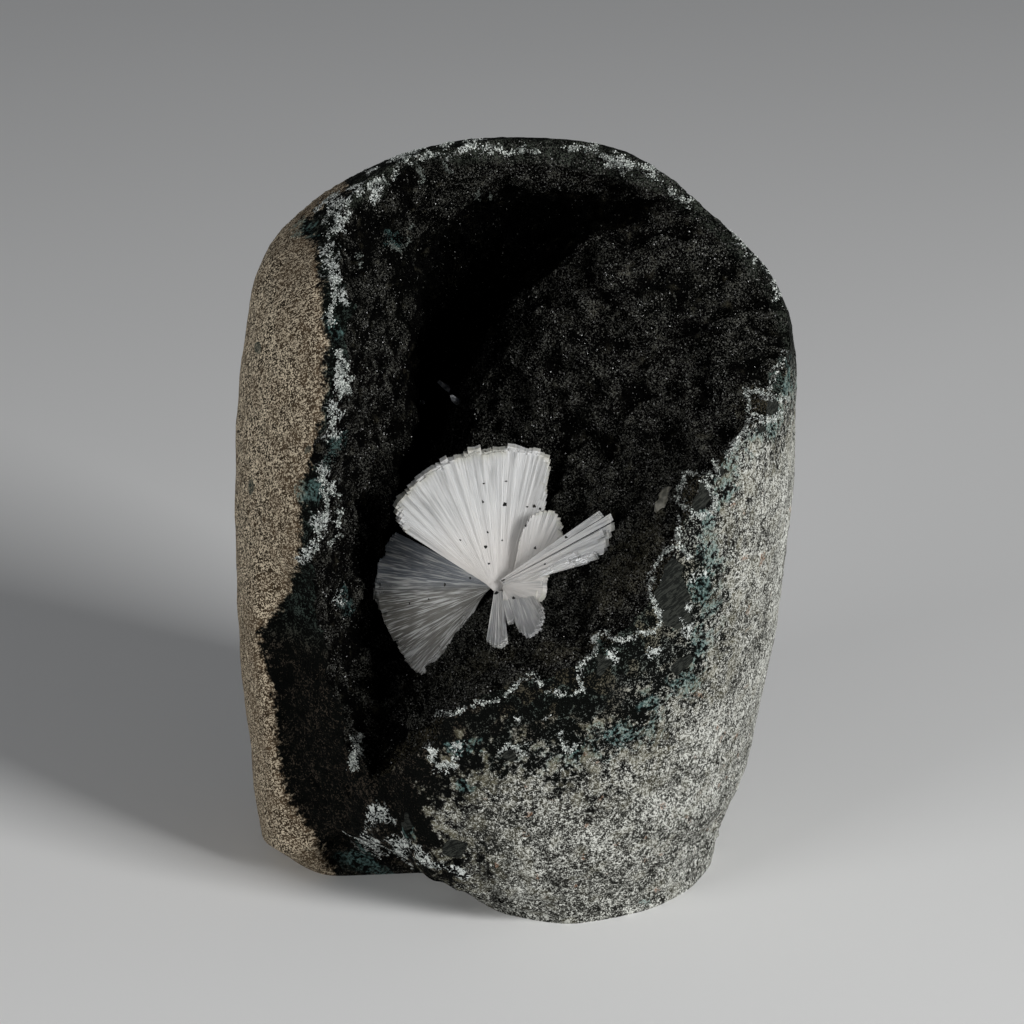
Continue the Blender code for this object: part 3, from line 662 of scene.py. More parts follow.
def keep_largest(item):
    """Drop the crumbs that a cut leaves, and keep the largest connected body."""
    work = bmesh.new()
    work.from_mesh(item.data)
    unseen = set(work.faces)
    bodies = []
    while unseen:
        stack = [unseen.pop()]
        body = []
        while stack:
            face = stack.pop()
            body.append(face)
            for edge in face.edges:
                for neighbour in edge.link_faces:
                    if neighbour in unseen:
                        unseen.remove(neighbour)
                        stack.append(neighbour)
        bodies.append(body)
    bodies.sort(key=len)
    for body in bodies[:-1]:
        bmesh.ops.delete(work, geom=body, context="FACES")
    bmesh.ops.triangulate(work, faces=work.faces)
    work.to_mesh(item.data)
    work.free()


# %% Cut the stone and the crust
stone = grid_body("weathered_stone", skin, SKIN)
rock_space = grid_body("rock_space", rock_grid, HIDDEN)
open_space = grid_body("open_space", open_grid, OPEN)
crust = rock_space.copy()
crust.data = rock_space.data.copy()
crust.name = "druse_crust"
bpy.context.collection.objects.link(crust)
combine(crust, stone, "INTERSECT", keep_other=True)
combine(crust, open_space, "DIFFERENCE")
combine(stone, rock_space, "DIFFERENCE")
for body in (stone, crust):
    keep_largest(body)
    print(body.name, len(body.data.polygons), "triangles")


# %% [markdown]
# ## Marks that the materials read
# A material can read numbers that are stored on the mesh. Here each vertex learns how far it lies from
# the tan edge, the vug's edge and the grey rock's edge, and how strongly it belongs to each patch and
# vein. The material then only has to add grain to those numbers, and its lines run on from stone to crust
# without a break. Ovals and smooth lines would look drawn, so the places are first pushed about by noise,
# which frays every outline. The marks are only meant for the front, so a last number fades them out where
# the stone turns away.

# %% Veins and patches, in millimetres on the drawing
WHITE_VEINS = (
    ((41.5, 24.4), (40.6, 22.0), (40.1, 20.1), (39.2, 18.8)),
    ((41.9, 17.1), (40.1, 17.1), (38.4, 17.7), (37.2, 18.9), (35.8, 18.3), (36.1, 17.1), (36.0, 15.7),
     (36.6, 14.5), (38.1, 14.0), (40.1, 14.3), (41.0, 15.6)),
    ((36.3, 14.0), (35.5, 12.5), (34.8, 11.6), (34.5, 10.7), (33.5, 9.5), (32.9, 8.4), (32.0, 7.8),
     (30.8, 7.6), (31.1, 6.6), (32.0, 5.2)),
    ((30.5, 5.9), (29.4, 6.1), (28.2, 5.6), (26.8, 6.1), (26.1, 5.6), (25.8, 4.1), (25.8, 2.6),
     (26.1, 1.2), (26.8, 0.3), (27.8, -0.3), (29.0, -0.8), (30.3, -0.2), (31.1, 1.7), (30.3, 3.7),
     (28.7, 5.2)),
    ((25.6, -1.1), (25.2, -2.7), (25.3, -4.4), (26.1, -5.6), (27.0, -7.0)),
    ((25.0, -5.0), (23.3, -6.3), (22.1, -7.3), (21.2, -9.2), (21.0, -11.1), (21.3, -12.8), (22.1, -14.3),
     (22.6, -15.6), (22.4, -16.6), (21.5, -18.1), (19.8, -18.6), (18.3, -18.9), (17.2, -19.5),
     (16.2, -19.5), (14.9, -18.9), (14.3, -17.8), (13.4, -18.5), (12.2, -19.5), (12.2, -21.2),
     (11.6, -22.3), (10.4, -23.3), (10.1, -24.6), (10.4, -25.6), (10.8, -26.8), (9.6, -27.4),
     (8.1, -27.8), (6.6, -27.4), (5.5, -27.1)),
    ((5.0, -26.2), (3.5, -25.2), (2.3, -25.0), (0.9, -25.9), (0.0, -27.1), (-0.6, -28.2)),
    ((-2.3, -28.7), (-4.1, -29.0), (-5.6, -29.0), (-7.2, -29.9), (-8.7, -30.8), (-9.8, -31.1),
     (-11.3, -30.5)),
    ((-12.5, -37.8), (-11.0, -38.7), (-9.2, -38.6), (-8.5, -37.4)),
    ((-1.8, -36.6), (-0.6, -35.7), (0.8, -36.0), (1.8, -37.2)),
    ((7.3, -34.0), (7.8, -35.7), (8.8, -36.3), (10.1, -35.4)),
    ((-23.0, -33.9), (-23.9, -35.5), (-24.7, -37.2), (-24.4, -39.6)),
    ((-30.2, 5.2), (-29.0, 4.9), (-28.2, 3.7), (-27.3, 2.9)),
    ((-26.5, 23.5), (-26.7, 20.4), (-25.5, 19.2), (-26.5, 17.1)),
)
# Patches: across, up, half width, half height, turn in degrees
WHITE_PATCHES = (
    (-28.2, 40.4, 1.4, 1.4, 0), (-27.6, 38.0, 1.5, 0.9, 0), (-27.1, 35.8, 1.2, 1.4, 0),
    (-25.5, 32.8, 0.5, 1.4, 0), (-27.8, 47.1, 2.4, 0.8, 25), (-26.2, 44.8, 0.9, 1.8, 0),
    (-23.8, 49.4, 1.1, 1.1, 30), (-20.9, 49.1, 1.2, 1.4, 0), (-21.3, 51.9, 1.5, 0.5, 30),
    (-17.4, 54.1, 2.0, 0.6, 24), (-14.5, 55.1, 1.2, 0.6, 10), (-28.4, 29.6, 0.6, 0.6, 0),
    (-25.6, 23.9, 0.9, 1.1, 0), (-26.5, 20.4, 0.6, 2.4, 0), (-27.3, 15.2, 1.2, 1.5, 0),
    (-27.4, 12.2, 1.2, 0.9, 0), (-28.4, 6.4, 0.9, 1.2, 0), (-27.6, 3.7, 1.1, 0.9, 0),
    (-29.0, -1.5, 2.1, 1.4, 0), (-31.0, -5.9, 2.0, 1.4, 20), (-26.4, -13.4, 0.9, 1.2, 0),
    (-23.9, -36.6, 0.5, 2.0, -20), (-20.4, -46.1, 2.1, 2.0, 0), (-16.8, -50.9, 2.6, 1.7, -30),
    (-21.7, -50.3, 1.4, 1.8, 0), (-12.5, -53.4, 2.7, 1.1, -20), (-8.2, -55.2, 2.0, 0.8, -20),
    (-6.4, 55.5, 4.6, 0.5, 6), (11.9, 54.9, 2.1, 0.5, -4), (16.8, 53.4, 2.4, 0.9, -20),
    (21.8, 51.7, 1.4, 0.6, -30), (33.7, 42.1, 0.5, 1.2, 35), (-12.7, -36.3, 0.8, 1.4, 0),
    (-10.2, -38.6, 1.4, 0.6, 0), (-7.6, -35.7, 1.4, 0.9, 0), (1.2, -32.0, 0.9, 0.6, 0),
    (5.8, -32.0, 0.6, 0.5, 0), (2.3, -34.0, 0.8, 0.6, 0),
    (21.8, -21.0, 0.9, 0.8, 0), (27.1, -14.2, 0.9, 0.8, 0), (26.2, -17.7, 0.8, 1.2, 0),
    (28.7, -9.6, 0.9, 0.8, 0), (14.9, -21.8, 0.9, 1.5, 0),
)
TEAL_PATCHES = (
    (38.6, 12.8, 1.8, 0.8, 20), (33.4, 7.6, 0.9, 1.4, 0), (32.6, 3.7, 1.1, 2.0, 0),
    (29.7, -1.2, 1.2, 1.4, 0), (30.5, -5.8, 1.5, 1.5, 0), (29.1, -11.9, 1.8, 2.1, 0),
    (30.3, -14.6, 1.1, 1.2, 0), (28.2, -20.3, 1.2, 2.0, 0), (26.4, -26.2, 2.4, 1.5, -10),
    (13.6, -20.4, 1.1, 1.2, 0), (-7.2, -36.0, 2.4, 1.2, 0), (9.2, -37.1, 1.4, 0.9, 0),
    (16.8, -34.0, 3.0, 1.4, 0), (21.0, -29.1, 1.7, 1.2, 0), (-6.6, -41.6, 1.1, 0.9, 0),
    (-15.9, -48.5, 1.2, 1.4, 0), (41.2, 20.4, 1.2, 3.4, 0), (20.3, -59.6, 0.8, 0.6, 0),
    (-31.6, 43.2, 2.1, 1.2, 20), (-27.4, 27.8, 1.5, 1.4, 0), (-26.5, 11.0, 1.5, 1.2, 0),
    (-30.5, 3.4, 2.3, 1.4, -10), (-27.8, 7.9, 1.2, 1.5, 0), (-25.5, -13.4, 1.4, 1.8, 0),
    (-22.3, -53.4, 4.0, 1.5, -30), (-18.6, 41.5, 1.4, 1.4, 0),
)
BROWN_PATCHES = (
    (18.0, -8.1, 3.7, 9.2, -32), (-4.9, -23.0, 6.4, 1.8, 25), (6.6, -21.8, 4.3, 1.8, -5),
    (18.0, -22.6, 4.0, 2.7, 0), (34.8, 15.6, 1.2, 1.8, 0),
)
TAN_SPOTS = ((-39.8, 3.8, 0.5, 1.3, 0), (-31.1, 9.5, 0.45, 0.8, -35), (-38.8, 25.0, 0.6, 1.0, 10))
WHITE_STREAKS = (
    ((-18.3, 51.5), (-16.3, 53.2), (-14.0, 54.1), (-11.3, 54.6), (-8.7, 55.2)),
    ((-11.0, 55.7), (-8.5, 56.1), (-6.1, 56.6), (-4.3, 56.7)),
    ((-3.7, 55.7), (-1.2, 54.7), (1.2, 55.1), (3.5, 54.7)),
    ((7.3, 56.0), (10.1, 55.8), (12.8, 55.4)),
    ((13.1, 54.0), (15.7, 54.0), (18.3, 53.1), (20.7, 51.9), (22.6, 50.6)),
    ((14.3, 52.8), (16.8, 52.2), (19.5, 50.9)),
    ((-29.6, 43.6), (-27.0, 46.2), (-24.4, 48.0), (-21.7, 49.6), (-19.5, 50.5)),
    ((-29.0, 41.8), (-26.2, 44.5), (-24.4, 46.4)),
    ((-28.4, 40.6), (-27.8, 38.1), (-26.7, 35.4), (-26.1, 32.3)),
    ((-28.1, 32.3), (-27.6, 29.6), (-27.3, 27.8)),
    ((-27.1, 24.4), (-26.2, 21.3), (-26.5, 17.8), (-27.6, 14.0), (-28.2, 10.7)),
    ((-25.5, 23.2), (-25.2, 19.4), (-25.9, 16.3)),
    ((-29.6, 7.0), (-28.8, 3.4), (-28.2, 0.0), (-29.4, -4.0), (-31.0, -7.3)),
    ((-27.8, 4.9), (-26.5, 1.8), (-26.8, -2.0), (-27.9, -5.0)),
    ((-24.7, -34.0), (-23.8, -36.0), (-23.6, -38.1), (-23.2, -39.6)),
    ((23.8, 49.4), (25.6, 48.0), (27.1, 46.4)),
    ((34.0, 42.2), (35.5, 40.3), (37.4, 38.1)),
    ((38.1, 37.7), (40.0, 33.9), (41.2, 30.5)),
)
VEIN_HALF_WIDTH = 0.30
GROOVE_SLANT = radians(30)
# Half the width, depth and height of the column
HALF_SIZES = (42, 41, 58)
print("veins:", len(WHITE_VEINS), "streaks:", len(WHITE_STREAKS), "white patches:", len(WHITE_PATCHES))

# %% Frayed places on the drawing
def frayed(drawn, points, most):
    """Places on the drawing pushed about by up to this many millimetres, so that outlines fray."""
    place = points / MM
    coarse = np.column_stack([noise_at(place, 0.32, 31.0), noise_at(place, 0.32, 57.0)])
    finer = np.column_stack([noise_at(place, 0.95, 12.0), noise_at(place, 0.95, 83.0)])
    return drawn + most * (coarse + 0.6 * finer)


def veins(drawn, lines):
    """Strength from 0 to 1 of thin veins along these lines."""
    nearest = np.min([np.abs(line_side(drawn, line)) for line in lines], axis=0)
    return fade(nearest, 0.25 * VEIN_HALF_WIDTH, 1.75 * VEIN_HALF_WIDTH)


def facing(points):
    """How far the stone's outside faces the viewer at points of the frame: 1 at the front, 0 at the back."""
    half = np.array(HALF_SIZES)
    across, along, up = ((points - sight) / MM / half).T
    steep = (5 / half[2]) * np.abs(up) ** 4 * np.sign(up)
    normal = np.stack([2 * across / half[0], 2 * along / half[1], steep], axis=-1)
    normal /= np.linalg.norm(normal, axis=1, keepdims=True)
    return smoothstep(normal @ TO_VIEWER, -0.30, 0.0)


def groove_places(points):
    """Places on the skin rolled out flat and turned, so that the grooves run along the first number."""
    across, along, up = (points / MM).T
    radius = np.hypot(across, along)
    rolled = np.arctan2(along, across) % (2 * pi) * HALF_SIZES[1]
    first = rolled * cos(GROOVE_SLANT) + up * sin(GROOVE_SLANT)
    second = up * cos(GROOVE_SLANT) - rolled * sin(GROOVE_SLANT)
    return np.stack([first, second, radius], axis=-1)


# %% Write the marks
EDGE_FRAY = 0.45
PATCH_FRAY = 1.5
FARTHEST = 20.0


def mesh_points(item):
    """All vertices of a mesh as rows of numbers."""
    flat = np.zeros(len(item.data.vertices) * 3, np.float32)
    item.data.vertices.foreach_get("co", flat)
    return flat.reshape(-1, 3).astype(float)


def write_mark(item, name, values):
    """Store one number, or one vector, on each vertex."""
    values = np.asarray(values, np.float32)
    kind = "FLOAT_VECTOR" if values.ndim == 2 else "FLOAT"
    mark = item.data.attributes.new(name, kind, "POINT")
    mark.data.foreach_set("vector" if values.ndim == 2 else "value", values.ravel())


def write_marks(item):
    """Store every line and patch of the front on the vertices of a piece, and give back the white ones."""
    points = mesh_points(item)
    drawn = on_drawing(points)
    edge = frayed(drawn, points, EDGE_FRAY)
    patch = frayed(drawn, points, PATCH_FRAY)
    front = facing(points)
    broken = smoothstep(noise_at(points / MM, 0.5, 71.0), -0.45, 0.15)
    tan_side = line_side(edge, TAN_EDGE)
    tan_side = np.where(edge[:, 1] > TAN_TOP[1], np.minimum(tan_side, TAN_TOP[0] - edge[:, 0]), tan_side)
    vug_side = line_side(edge, VUG_EDGE)
    grey_side = line_side(patch, GREY_EDGE)
    for name, side in (("tan_side", tan_side), ("vug_side", vug_side), ("grey_side", grey_side)):
        write_mark(item, name, np.clip(side, -FARTHEST, FARTHEST))
    strengths = {
        "front": 1.0,
        "oval": patches((edge + patch) / 2, AMYGDALES),
        "crown": smoothstep(line_side(edge, CROWN_EDGE), -0.5, 0.5),
        "white": np.maximum(veins(edge, WHITE_VEINS) * broken, patches(patch, WHITE_PATCHES)),
        "teal": patches(patch, TEAL_PATCHES),
        "brown": patches(patch, BROWN_PATCHES),
        "spot": patches(drawn, TAN_SPOTS),
    }
    for name, strength in strengths.items():
        write_mark(item, name, strength * front)
    write_mark(item, "groove", groove_places(points))
    return strengths["white"] * front


def write_hollow_shade(item):
    """Store where the open wall is hollow between its lumps, where the druse's finish darkens its colour as
    painted shade.
    """
    place = mesh_points(item) / MM - stone_shift / MM
    lumps, bubbles, left = grit_parts(place)
    between = smoothstep(lumps, -0.05, 0.50) * 0.8
    burst = smoothstep(bubbles, 0.30, 0.60) * left
    hollow = np.max([between, burst, smoothstep(slope_ridges(place), 0.0, 0.7)], axis=0)
    write_mark(item, "hollow", hollow)
    return hollow


white_marks = {body.name: write_marks(body) for body in (stone, crust)}
hollow_shade_marks = write_hollow_shade(crust)
print("marks on the stone:", [mark.name for mark in stone.data.attributes if mark.domain == "POINT"])

# %% [markdown]
# ## Writing a material as sums
# A material is a net of nodes, but most of those nodes only add, multiply and compare. Read as sums they
# are easy to follow, so a small class wraps the output of a node and lets it be used like a number. Each
# operator adds the Math node that works it out. Every other node comes from one method, which first makes
# the node's settings, because they decide which sockets it has, and then fills the sockets with values or
# with links.

# %% A socket that can be used in sums
def open_socket(sockets, key):
    """The socket with this name or number, among those that the node's settings leave open."""
    shown = [socket for socket in sockets if socket.enabled]
    if isinstance(key, int):
        return shown[key]
    return next(socket for socket in shown if socket.name == key)


class Wire:
    """The output of a node, which can be used like a number."""

    def __init__(self, finish, socket):
        self.finish = finish
        self.socket = socket

    def math(self, operation, *values):
        """The Math node that works out one operation."""
        return self.finish.node("Math", {"operation": operation}, dict(enumerate(values)))

    def __add__(self, other):
        return self.math("ADD", self, other)

    def __radd__(self, other):
        return self.math("ADD", other, self)

    def __sub__(self, other):
        return self.math("SUBTRACT", self, other)

    def __rsub__(self, other):
        return self.math("SUBTRACT", other, self)

    def __mul__(self, other):
        return self.math("MULTIPLY", self, other)

    def __rmul__(self, other):
        return self.math("MULTIPLY", other, self)

    def __abs__(self):
        return self.math("ABSOLUTE", self)

    def most(self, other):
        """The larger of two numbers."""
        return self.math("MAXIMUM", self, other)

    def least(self, other):
        """The smaller of two numbers."""
        return self.math("MINIMUM", self, other)

    def step(self, low, high):
        """Rise smoothly from 0 at low to 1 at high."""
        settings = {"interpolation_type": "SMOOTHSTEP"}
        return self.finish.node("MapRange", settings, {"Value": self, "From Min": low, "From Max": high})


# %% A material under construction
class Finish:
    """A material whose nodes are added one by one."""

    def __init__(self, name):
        self.material = bpy.data.materials.new(name)
        self.material.use_nodes = True
        self.tree = self.material.node_tree
        self.tree.nodes.clear()
        position = self.node("NewGeometry", {}, {}, "Position")
        self.place = self.node("VectorMath", {"operation": "SCALE"}, {0: position, "Scale": 1 / MM})

    def node(self, kind, settings, sockets, output=0):
        """Add any node: its settings first, then a value or a link for each socket."""
        made = self.tree.nodes.new("ShaderNode" + kind)
        for name, value in settings.items():
            setattr(made, name, value)
        for key, value in sockets.items():
            socket = open_socket(made.inputs, key)
            if isinstance(value, Wire):
                self.tree.links.new(value.socket, socket)
            elif socket.type == "RGBA":
                socket.default_value = (*value, 1)
            else:
                socket.default_value = value
        return Wire(self, open_socket(made.outputs, output))

    def mark(self, name, output="Fac"):
        """A number or vector that was stored on the mesh."""
        return self.node("Attribute", {"attribute_name": name}, {}, output)

    def part(self, vector, axis):
        """One number of a place: X, Y or Z."""
        return self.node("SeparateXYZ", {}, {"Vector": vector}, axis)

    def noise(self, scale, detail, place=None):
        """Noise with about this many swells in a millimetre, around 0.5."""
        sockets = {"Vector": place or self.place, "Scale": scale, "Detail": detail}
        return self.node("TexNoise", {}, sockets, "Fac")

    def stretch(self, place, factors):
        """A place with each direction stretched by its own factor."""
        return self.node("VectorMath", {"operation": "MULTIPLY"}, {0: place, 1: factors})

    def mix(self, first, second, share):
        """One colour over another."""
        return self.node("Mix", {"data_type": "RGBA"}, {"Factor": share, "A": first, "B": second})

    def bump(self, height):
        """Fine relief from a height in millimetres."""
        return self.node("Bump", {}, {"Strength": 1.0, "Distance": MM, "Height": height})

    def done(self, shader):
        """Link a shader to the output and give the material."""
        output = self.tree.nodes.new("ShaderNodeOutputMaterial")
        self.tree.links.new(shader.socket, output.inputs["Surface"])
        return self.material

    def surface(self, sockets):
        """Finish the material with one Principled shader."""
        return self.done(self.node("BsdfPrincipled", {}, sockets))

    def half_clear(self, share, white, glass):
        """Finish the material with a white and a clear shader, mixed by the share that is clear."""
        shaders = {1: self.node("BsdfPrincipled", {}, white), 2: self.node("BsdfPrincipled", {}, glass)}
        return self.done(self.node("MixShader", {}, {0: share, **shaders}))


# %% [markdown]
# ## The stone's finish
# From a step away basalt looks grey, but close up it is a mass of pale feldspar grains, half a millimetre
# wide, with dark pyroxene and small pits between them. So the grey is made from grains with strong
# contrast and never from one flat colour. The tan face has the same grain under a film of dust and fine
# grinding grooves. Between the fresh rock and the vug lies altered rock, black, green and brown, with
# teal stains and white crusts. All of these are layers, laid over each other from the largest to the
# smallest. Only two of the noises feed the relief, because a renderer works out everything behind a bump
# three times.

# %% Colours of the stone
GREY_DARK = (0.016, 0.016, 0.014)
GREY_MIDDLE = (0.170, 0.171, 0.152)
GREY_LIGHT = (0.600, 0.605, 0.560)
GREY_OLIVE = (0.120, 0.110, 0.070)
TAN_DARK = (0.014, 0.010, 0.006)
TAN_LIGHT = (0.680, 0.580, 0.430)
TAN_BROWN = (0.095, 0.066, 0.040)
BAND_DARK = (0.0020, 0.0024, 0.0020)
BAND_GREEN = (0.034, 0.046, 0.039)
MOSS_BROWN = (0.052, 0.046, 0.031)
MOSS_PALE = (0.120, 0.115, 0.085)
BAND_TEAL = (0.060, 0.080, 0.072)
TEAL = (0.110, 0.190, 0.180)
CROWN_GREEN = (0.036, 0.041, 0.033)
FILLING_DARK = (0.008, 0.009, 0.008)
FILLING_GREEN = (0.026, 0.028, 0.024)
SCAR_BROWN = (0.042, 0.034, 0.026)
CRUST_WHITE = (0.640, 0.670, 0.640)
RUST = (0.200, 0.085, 0.035)

# %% White crust
def add_white(finish, colour, lumps, grain):
    """Lay the white crusts and veins over a colour."""
    mark = finish.mark("white")
    curls = 1 - abs(finish.noise(0.9, 2.0) - 0.5).step(0.008, 0.040)
    heart = (mark + (grain - 0.5) * 2.6 + (lumps - 0.5) * 3.0).step(1.05, 1.35)
    white = curls.most(heart) * mark.step(0.12, 0.50) * (grain * 0.6 + lumps * 0.4).step(0.38, 0.50)
    return finish.mix(colour, CRUST_WHITE, white * 0.85)


# %% The swells that the stone's layers share
GROOVE_STRETCH = (1.0, 4.2, 0.6)


def stone_swells(finish):
    """The noises, places and marks that more than one layer of the stone reads."""
    return SimpleNamespace(
        grain=finish.noise(2.2, 2.0),
        fine=finish.noise(5.0, 0.0),
        lumps=finish.noise(0.8, 1.0),
        middle=finish.noise(0.32, 1.0),
        cloud=finish.noise(0.13, 1.0),
        grooves=finish.noise(1.0, 1.0, finish.stretch(finish.mark("groove", "Vector"), GROOVE_STRETCH)),
        across=finish.part(finish.place, "X"),
        height=finish.part(finish.place, "Z"),
        front=finish.mark("front"),
        tan_side=finish.mark("tan_side"),
        grey_side=finish.mark("grey_side"),
    )


# %% Grey basalt
def grey_speckle(swells, inner):
    """The grain of the basalt, around 0.5: darker towards the vug and to the left of the front, darker low
    down as painted shade, and lighter at the far right as painted light.
    """
    speckle = swells.grain * 0.43 + swells.fine * 0.37 + swells.lumps * 0.20
    speckle = speckle + (swells.cloud - 0.5) * 0.16 + (swells.middle - 0.5) * 0.10
    speckle = speckle - (1 - swells.across.step(-16.0, 16.0)) * swells.front * 0.032 - inner * 0.050
    # Painted shade low down, and painted light at the far right
    return speckle - (1 - swells.height.step(0.0, 44.0)) * 0.020 + swells.across.step(22.0, 40.0) * 0.014


def grey_layer(finish, swells, speckle, inner):
    """Fresh basalt: dark and pale grains, an olive haze towards the vug, and a few rusty spots."""
    grey = finish.mix(GREY_DARK, GREY_MIDDLE, speckle.step(0.405, 0.490))
    grey = finish.mix(grey, GREY_LIGHT, speckle.step(0.475, 0.60))
    olive = swells.middle.step(0.54, 0.66) * 0.25 + inner * swells.lumps.step(0.48, 0.60) * 0.45
    grey = finish.mix(grey, GREY_OLIVE, olive)
    rusty = finish.noise(0.45, 0.0).step(0.74, 0.80) * swells.grain.step(0.45, 0.6) * 0.6
    return finish.mix(grey, RUST, rusty)


# %% Tan stone
def tan_layer(finish, swells):
    """Ground stone with fine grooves, browner and darker towards the crusty band, partly its own colour and
    partly painted shade, with a few dark green spots.
    """
    ground = swells.fine * 0.42 + swells.grain * 0.30 + swells.grooves * 0.28 + (swells.lumps - 0.5) * 0.12
    tan = finish.mix(TAN_DARK, TAN_LIGHT, ground.step(0.464, 0.578))
    # Near the crusty band the tan turns brown and dark: partly its own colour, partly painted shade
    edge_brown_and_shade = (1 - swells.tan_side.step(0.0, 9.0)) * 0.45 + (1 - swells.tan_side.step(0.2, 1.8)) * 0.4
    brown = (edge_brown_and_shade + swells.middle.step(0.48, 0.60) * 0.4) * (1 - ground.step(0.45, 0.60) * 0.6)
    tan = finish.mix(tan, TAN_BROWN, brown)
    return finish.mix(tan, BAND_GREEN, finish.mark("spot").step(0.3, 0.6) * 0.7)


# %% Altered rock
def altered_layer(finish, swells, speckle, crown):
    """The strip beside the vug: black rock with green, brown or teal grains and pale flecks."""
    scar = 1 - swells.height.step(38.0, 48.0)
    second = finish.mix(finish.mix(BAND_GREEN, SCAR_BROWN, scar), MOSS_BROWN, swells.across.step(-14.0, 8.0))
    second = finish.mix(second, MOSS_PALE, swells.across.step(8.0, 24.0))
    teal = (1 - swells.middle.step(0.46, 0.54)) * swells.across.step(-16.0, 4.0)
    second = finish.mix(second, BAND_TEAL, teal * 0.8)
    second = finish.mix(second, CROWN_GREEN, crown)
    grains = swells.lumps * 0.25 + swells.grain * 0.39 + swells.fine * 0.36 + (swells.middle - 0.5) * 0.20
    dark = finish.mix(BAND_DARK, second, (grains - scar * 0.03).step(0.498, 0.615))
    flecks = speckle.step(0.455, 0.575) * swells.across.step(-14.0, 22.0) * swells.grey_side.step(-9.0, -0.5)
    return finish.mix(dark, GREY_LIGHT, flecks * 0.42)


def grey_share(swells):
    """Where the fresh grey rock begins: past its frayed line on the drawing, and everywhere at the back."""
    low = 1 - swells.across.step(10.0, 26.0)
    border = swells.grey_side + (swells.middle - 0.5) * (8.0 + low * 14.0)
    border = border + (swells.lumps - 0.5) * (9.0 + low * 12.0) + (swells.grain - 0.5) * 12.0
    return border.step(-2.5, 3.0).most(1 - swells.front)


# %% Teal stains
def add_teal(finish, colour, swells):
    """Lay teal stains over a colour, in patches and along the border of the grey rock."""
    at_border = 1 - abs(swells.grey_side + (swells.middle - 0.5) * 14.0).step(0.6, 2.6)
    along_border = at_border * swells.middle.step(0.44, 0.54) * swells.front
    stain = finish.mark("teal").step(0.05, 0.5).most(along_border * swells.across.step(-12.0, 24.0))
    teal = stain * (swells.lumps * 0.5 + swells.grain * 0.5).step(0.43, 0.56)
    return finish.mix(colour, TEAL, teal * (0.20 + swells.grain.step(0.44, 0.60) * 0.40))


# %% The stone's finish
STONE_SHINE = 0.03


def stone_finish():
    """Grey and tan stone, with altered rock, stains and crusts beside the vug, as layers."""
    finish = Finish("basalt")
    swells = stone_swells(finish)
    inner = (1 - swells.grey_side.step(-3.0, 12.0)) * swells.front
    speckle = grey_speckle(swells, inner)
    crown = swells.height.step(96.5, 100.5).most(finish.mark("crown"))
    dark = altered_layer(finish, swells, speckle, crown)
    colour = finish.mix(dark, grey_layer(finish, swells, speckle, inner), grey_share(swells))
    on_tan = (swells.tan_side + (swells.lumps - 0.5) * 3.0 + (swells.grain - 0.5) * 3.0).step(-0.5, 0.9)
    colour = finish.mix(colour, tan_layer(finish, swells), on_tan)
    colour = add_teal(finish, colour, swells)
    filled = (finish.mark("oval") + (swells.lumps - 0.5) * 0.35).step(0.46, 0.56)
    green = swells.grooves.step(0.44, 0.60) + swells.grain.step(0.60, 0.68) * 0.6
    colour = finish.mix(colour, finish.mix(FILLING_DARK, FILLING_GREEN, green), filled)
    colour = add_white(finish, colour, swells.lumps, swells.grain)
    relief = swells.grain * 0.42 * (1 - filled * 0.85) + swells.fine * 0.12
    roughness = 0.84 - 0.30 * filled - 0.18 * crown
    return finish.surface({"Base Color": colour, "Roughness": roughness, "Specular IOR Level": STONE_SHINE,
                           "Normal": finish.bump(relief)})


basalt_finish = stone_finish()
print("nodes of the stone's finish:", len(basalt_finish.node_tree.nodes))

# %% [markdown]
# ## The druse's finish
# The lining of the vug is a crust of crystals too small to see one by one. They are almost black, olive
# or brown where iron has stained them, and they glint. Most of the surface has to be darker than any
# paint would be, so its reflections are turned down, and the bright specks come from separate crystals
# that are added later. Deep in the vug and in the hollows between its lumps, the pale specks of its colour
# are dimmed as painted shade.

# %% The druse's finish
DRUSE_BLACK = (0.0008, 0.0008, 0.0007)
DRUSE_GREY = (0.084, 0.084, 0.072)
OLIVE_BROWN = (0.060, 0.055, 0.037)
DRUSE_SHINE = 0.02
# Between these depths in millimetres the vug falls into shade: the druse loses this share of its crystals
# and, as painted shade, of its pale specks
SHADE_DEPTHS = (3.0, 15.0)
SHADE = 0.92


